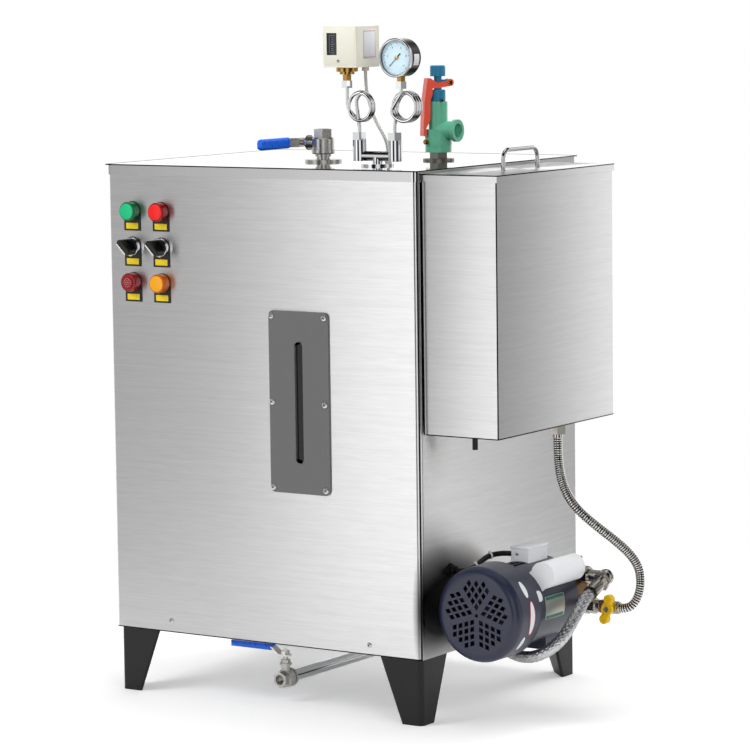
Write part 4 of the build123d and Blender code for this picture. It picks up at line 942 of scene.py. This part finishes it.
for row in range(9):
    mark_size = (4 if row % 4 else 8, 0.12, 0.5)
    place = from_front(scale_x + 1.1, scale_front, scale_z - 13 + scale_step * row)
    add_block(scale_marks, mark_size, place, edge=0.03)
add_block(scale_marks, (0.5, 0.12, 27), from_front(scale_x - 3.9, scale_front, scale_z), edge=0.03)
finished("switch_scale", scale_marks, scale_grey)
cover_screw_place = from_front(switch_mid[0] - 2, switch_front_y - 0.6, switch_mid[2] - 21.3)
pan_screws("switch_screw", [cover_screw_place], 2.6)
post_profile = [(0, 0.2), (1.2, 0.2), (1.2, 0)]
switch_top = 928
posts = bmesh.new()
for shift in (-17, 6):
    for step in (-2.2, 2.2):
        add_turned(posts, post_profile, from_front(switch_mid[0] + shift + step, 112, switch_top), steps=12)
finished("switch_posts", posts, bright_screw)
# The side label: white film with a thin red border.
switch_side_x = 400.0
label_y = 130.5
label_z = 900.3
side_label = bmesh.new()
add_block(side_label, (0.3, 35, 44), from_front(switch_side_x, label_y, label_z), edge=0.08)
finished("switch_label", side_label, label_white)
border_sides = ((-15.5, 0, 0.9, 40), (15.5, 0, 0.9, 40), (0, -19.5, 31.9, 0.9), (0, 19.5, 31.9, 0.9))
border = bmesh.new()
for shift_y, shift_z, width, tall in border_sides:
    place = from_front(switch_side_x, label_y + shift_y, label_z + shift_z)
    add_block(border, (0.4, width, tall), place, edge=0.08)
finished("switch_label_border", border, label_red)


# The pressure gauge: a black case with a bright bezel, a pale blue dial with a
# plain scale, a dark pointer on a brass hub, and a bare label on its side.
gauge_x = 476.5
gauge_z = 881.0
gauge_front_y = 82.5
dial_y = 87.5
gauge_black = new_material("black_gauge_case", "#050506", 0, 0.16, grain_mm=20, uneven=0.02)
dial_blue = new_material("pale_blue_dial", "#d3e9f1", 0, 0.5, grain_mm=6, shade=0.03)
ink_dark = new_material("dial_ink", "#26333c", 0, 0.5, grain_mm=2)
clear_glass = bpy.data.materials.new("clear_gauge_glass")
clear_glass.use_nodes = True
glass_tree = clear_glass.node_tree
glass_shader = glass_tree.nodes["Principled BSDF"]
glass_shader.inputs["Base Color"].default_value = linear("#fbfdff")
glass_shader.inputs["Transmission Weight"].default_value = 1.0
glass_shader.inputs["IOR"].default_value = 1.1
glass_place = add_node(glass_tree, "TexCoord")
glass_noise = add_node(glass_tree, "TexNoise", {"Vector": glass_place.outputs["Object"], "Scale": 60.0})
glass_spread = add_node(
    glass_tree, "MapRange", {"Value": glass_noise.outputs["Fac"], "To Min": 0.0, "To Max": 0.03},
)
glass_tree.links.new(glass_spread.outputs[0], glass_shader.inputs["Roughness"])
dress(gauge_black, "gauge_case")
dress(dial_blue, "gauge_dial")
dress(clear_glass, "gauge_glass")
bezel = bmesh.new()
bezel_ring = [(25.6, -0.6), (25.6, 0.5), (26.6, 1.1), (28.0, 0.9), (28.9, 0.1), (28.9, -3.5), (28.5, -3.6)]
add_turned(bezel, bezel_ring, from_front(gauge_x, gauge_front_y, gauge_z), forward, steps=72)
finished("gauge_bezel", bezel, chrome)
ticks = bmesh.new()
first_tick = radians(225)
tick_sweep = radians(270)
tick_count = 50
tick_rim = 23.6
tick_t = 0.12
long_tick = (3.4, 0.55)
short_tick = (1.8, 0.3)
for tick in range(tick_count + 1):
    turn = first_tick - tick_sweep * tick / tick_count
    length, width = short_tick if tick % 5 else long_tick
    reach = tick_rim - length / 2
    part = bmesh.new()
    add_block(part, (length, tick_t, width), Vector((reach / 1000, 0, 0)), edge=0.03)
    bmesh.ops.rotate(part, cent=(0, 0, 0), matrix=Matrix.Rotation(-turn, 3, "Y"), verts=part.verts)
    place_in(ticks, part, from_front(gauge_x, dial_y - 0.04, gauge_z))
finished("gauge_ticks", ticks, ink_dark)
number_height = 0.0042
number_t = 0.00005
number_ring = 16.4
for step, number in enumerate(("0", "2", "4", "6", "8", "10")):
    turn = first_tick - tick_sweep * step / 5
    letters = bpy.data.curves.new("dial_number", "FONT")
    letters.body = number
    letters.size = number_height
    letters.extrude = number_t
    letters.align_x = "CENTER"
    letters.align_y = "CENTER"
    holder = bpy.data.objects.new("dial_number", letters)
    mesh = bpy.data.meshes.new_from_object(holder)
    bpy.data.objects.remove(holder)
    number_shape = bmesh.new()
    number_shape.from_mesh(mesh)
    stand = Matrix.Rotation(pi / 2, 4, "X")
    place = from_front(gauge_x + number_ring * cos(turn), dial_y - 0.1, gauge_z + number_ring * sin(turn))
    number_shape.transform(Matrix.Translation(place) @ stand)
    finished("gauge_number_" + number, number_shape, ink_dark)
# The needle rests at zero, at the lower left, with a short broad tail.
needle = bmesh.new()
needle_t = 0.5
needle_parts = ((19, 0.9, 8.5), (9, 2.0, -4.5))
for length, width, reach in needle_parts:
    part = bmesh.new()
    add_block(part, (length, needle_t, width), Vector((reach / 1000, 0, 0)), edge=0.1)
    bmesh.ops.rotate(part, cent=(0, 0, 0), matrix=Matrix.Rotation(-first_tick, 3, "Y"), verts=part.verts)
    place_in(needle, part, from_front(gauge_x, dial_y - 0.5, gauge_z))
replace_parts(finished("gauge_needle", needle, ink_dark), "gauge_pointer")
hub = bmesh.new()
hub_profile = [(0, 1.6), (1.6, 1.5), (2.7, 0.9), (2.9, 0)]
add_turned(hub, hub_profile, from_front(gauge_x, dial_y - 0.8, gauge_z), forward, steps=24)
finished("gauge_hub", hub, bright_brass)
case_label = bmesh.new()
part = bmesh.new()
bmesh.ops.create_grid(part, x_segments=10, y_segments=1, size=0.5)
case_radius = 28.65
case_turn = radians(-6)
case_sweep = radians(34)
case_label_w = 14
case_label_y = gauge_front_y + 15
for vert in part.verts:
    angle = case_turn + vert.co.x * case_sweep
    label_x = gauge_x + case_radius * cos(angle)
    label_rise = gauge_z + case_radius * sin(angle)
    vert.co = from_front(label_x, case_label_y + vert.co.y * case_label_w, label_rise)
place_in(case_label, part, Vector((0, 0, 0)))
finished("gauge_label", case_label, label_white)


# The safety valve: a green cast body on a grey hexagon, a blue bonnet and cap,
# and a red lifting lever that hangs from a pin behind the stem.
relief_x = 438.0
relief_y = 261.0
painted = dict(grain_mm=3, uneven=0.06, shade=0.12, relief_mm=0.08)
cast_grey = new_material("bare_cast_iron", "#9c9990", 1, 0.4, grain_mm=1.5, shade=0.3, relief_mm=0.06)
sea_green = new_material("sea_green_paint", "#6cc4a2", 0, 0.34, **painted)
valve_blue = new_material("blue_valve_paint", "#2181ab", 0, 0.34, **painted)
lever_red = new_material("orange_red_paint", "#ff5d45", 0, 0.36, grain_mm=4, shade=0.06, relief_mm=0.03)
dress(cast_grey, "safety_base")
dress(sea_green, "safety_body")
dress(valve_blue, "safety_bonnet")
dress(lever_red, "safety_lever")
lever_facing = radians(230)
pin_way = Vector((-sin(lever_facing), cos(lever_facing), 0))
pin_rise = 838.8
pin_reach = 0.0175
fork_half = 0.0100
pin_back = Vector((-cos(lever_facing), -sin(lever_facing), 0)) * pin_reach
pin_middle = from_front(relief_x, relief_y, pin_rise) + pin_back
pin_head = [(0, 1.6), (2.6, 1.4), (3.4, 0.6), (3.4, 0)]
brass_heads = bmesh.new()
for side in (-1, 1):
    add_turned(brass_heads, pin_head, pin_middle + pin_way * side * fork_half, pin_way * side, steps=20)
# Turn, radius, height, distance from the axis and length of the two side screws.
side_screws = ((248, 3.8, 749, 18.5, 8), (322, 2.4, 812, 13.5, 7))
for turn, radius, rise, reach, length in side_screws:
    way = Vector((cos(radians(turn)), sin(radians(turn)), 0))
    place = from_front(relief_x, relief_y, rise) + way * reach / 1000
    screw_profile = [(0, length), (radius * 0.8, length), (radius, length - 1), (radius, 0)]
    add_turned(brass_heads, screw_profile, place, way, steps=12)
finished("safety_brass_screws", brass_heads, bright_brass)


# Folded edges: a sharp bend in bright sheet mirrors the dark floor line, so each one shows as a thin dark
# line. They are drawn as narrow dark strips let into the bends, a painted reflection.
strip_wide = 1.7
strip_proud = 0.25
lid_top = 715.5
painted_bend_reflection = new_material("bend_painted_reflection", "#161616", 1, 0.3, grain_mm=8)


def box_of(name):
    """The low and high corner of a CAD node, in metres."""
    corners = [nodes[name].matrix_world @ Vector(corner) for corner in nodes[name].bound_box]
    return [Vector([pick(corner[side] for corner in corners) for side in range(3)]) for pick in (min, max)]


def add_bend(shape, start, end, outward):
    """A strip along one bend, its middle just inside the two faces that meet there."""
    inset = (strip_wide / 2 - strip_proud) / 1000
    along = end - start
    size = [max(abs(part) * 1000, strip_wide) for part in along]
    add_block(shape, size, (start + end) / 2 - Vector(outward) * inset, edge=0.3)


for name, body, runs in (
    ("roof_cover", "cabinet", ("front_top", "side_top", "back_top", "left_top")),
    ("front_panel", "cabinet", ("front_bottom", "front_right")),
    ("water_tank", "cabinet", ("front_left", "front_right", "front_bottom", "side_bottom")),
    ("tank_lid", "lid", ("front_top", "side_top")),
):
    low, high = box_of(name)
    if name == "tank_lid":
        high.z = from_front(0, 0, lid_top).z
    ends_of = {
        "front_top": ((low.x, low.y, high.z), (high.x, low.y, high.z), (0, -1, 1)),
        "side_top": ((high.x, low.y, high.z), (high.x, high.y, high.z), (1, 0, 1)),
        "back_top": ((low.x, high.y, high.z), (high.x, high.y, high.z), (0, 1, 1)),
        "left_top": ((low.x, low.y, high.z), (low.x, high.y, high.z), (-1, 0, 1)),
        "front_bottom": ((low.x + 0.003, low.y, low.z), (high.x, low.y, low.z), (0, -1, -1)),
        "side_bottom": ((high.x, low.y, low.z), (high.x, high.y, low.z), (1, 0, -1)),
        "front_left": ((low.x, low.y, low.z), (low.x, low.y, high.z), (-1, -1, 0)),
        "front_right": ((high.x, low.y, low.z), (high.x, low.y, high.z), (1, -1, 0)),
    }
    bends = bmesh.new()
    for run in runs:
        start, end, outward = ends_of[run]
        add_bend(bends, Vector(start), Vector(end), outward)
    finished(name + "_bends", bends, painted_bend_reflection, body)


low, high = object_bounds()
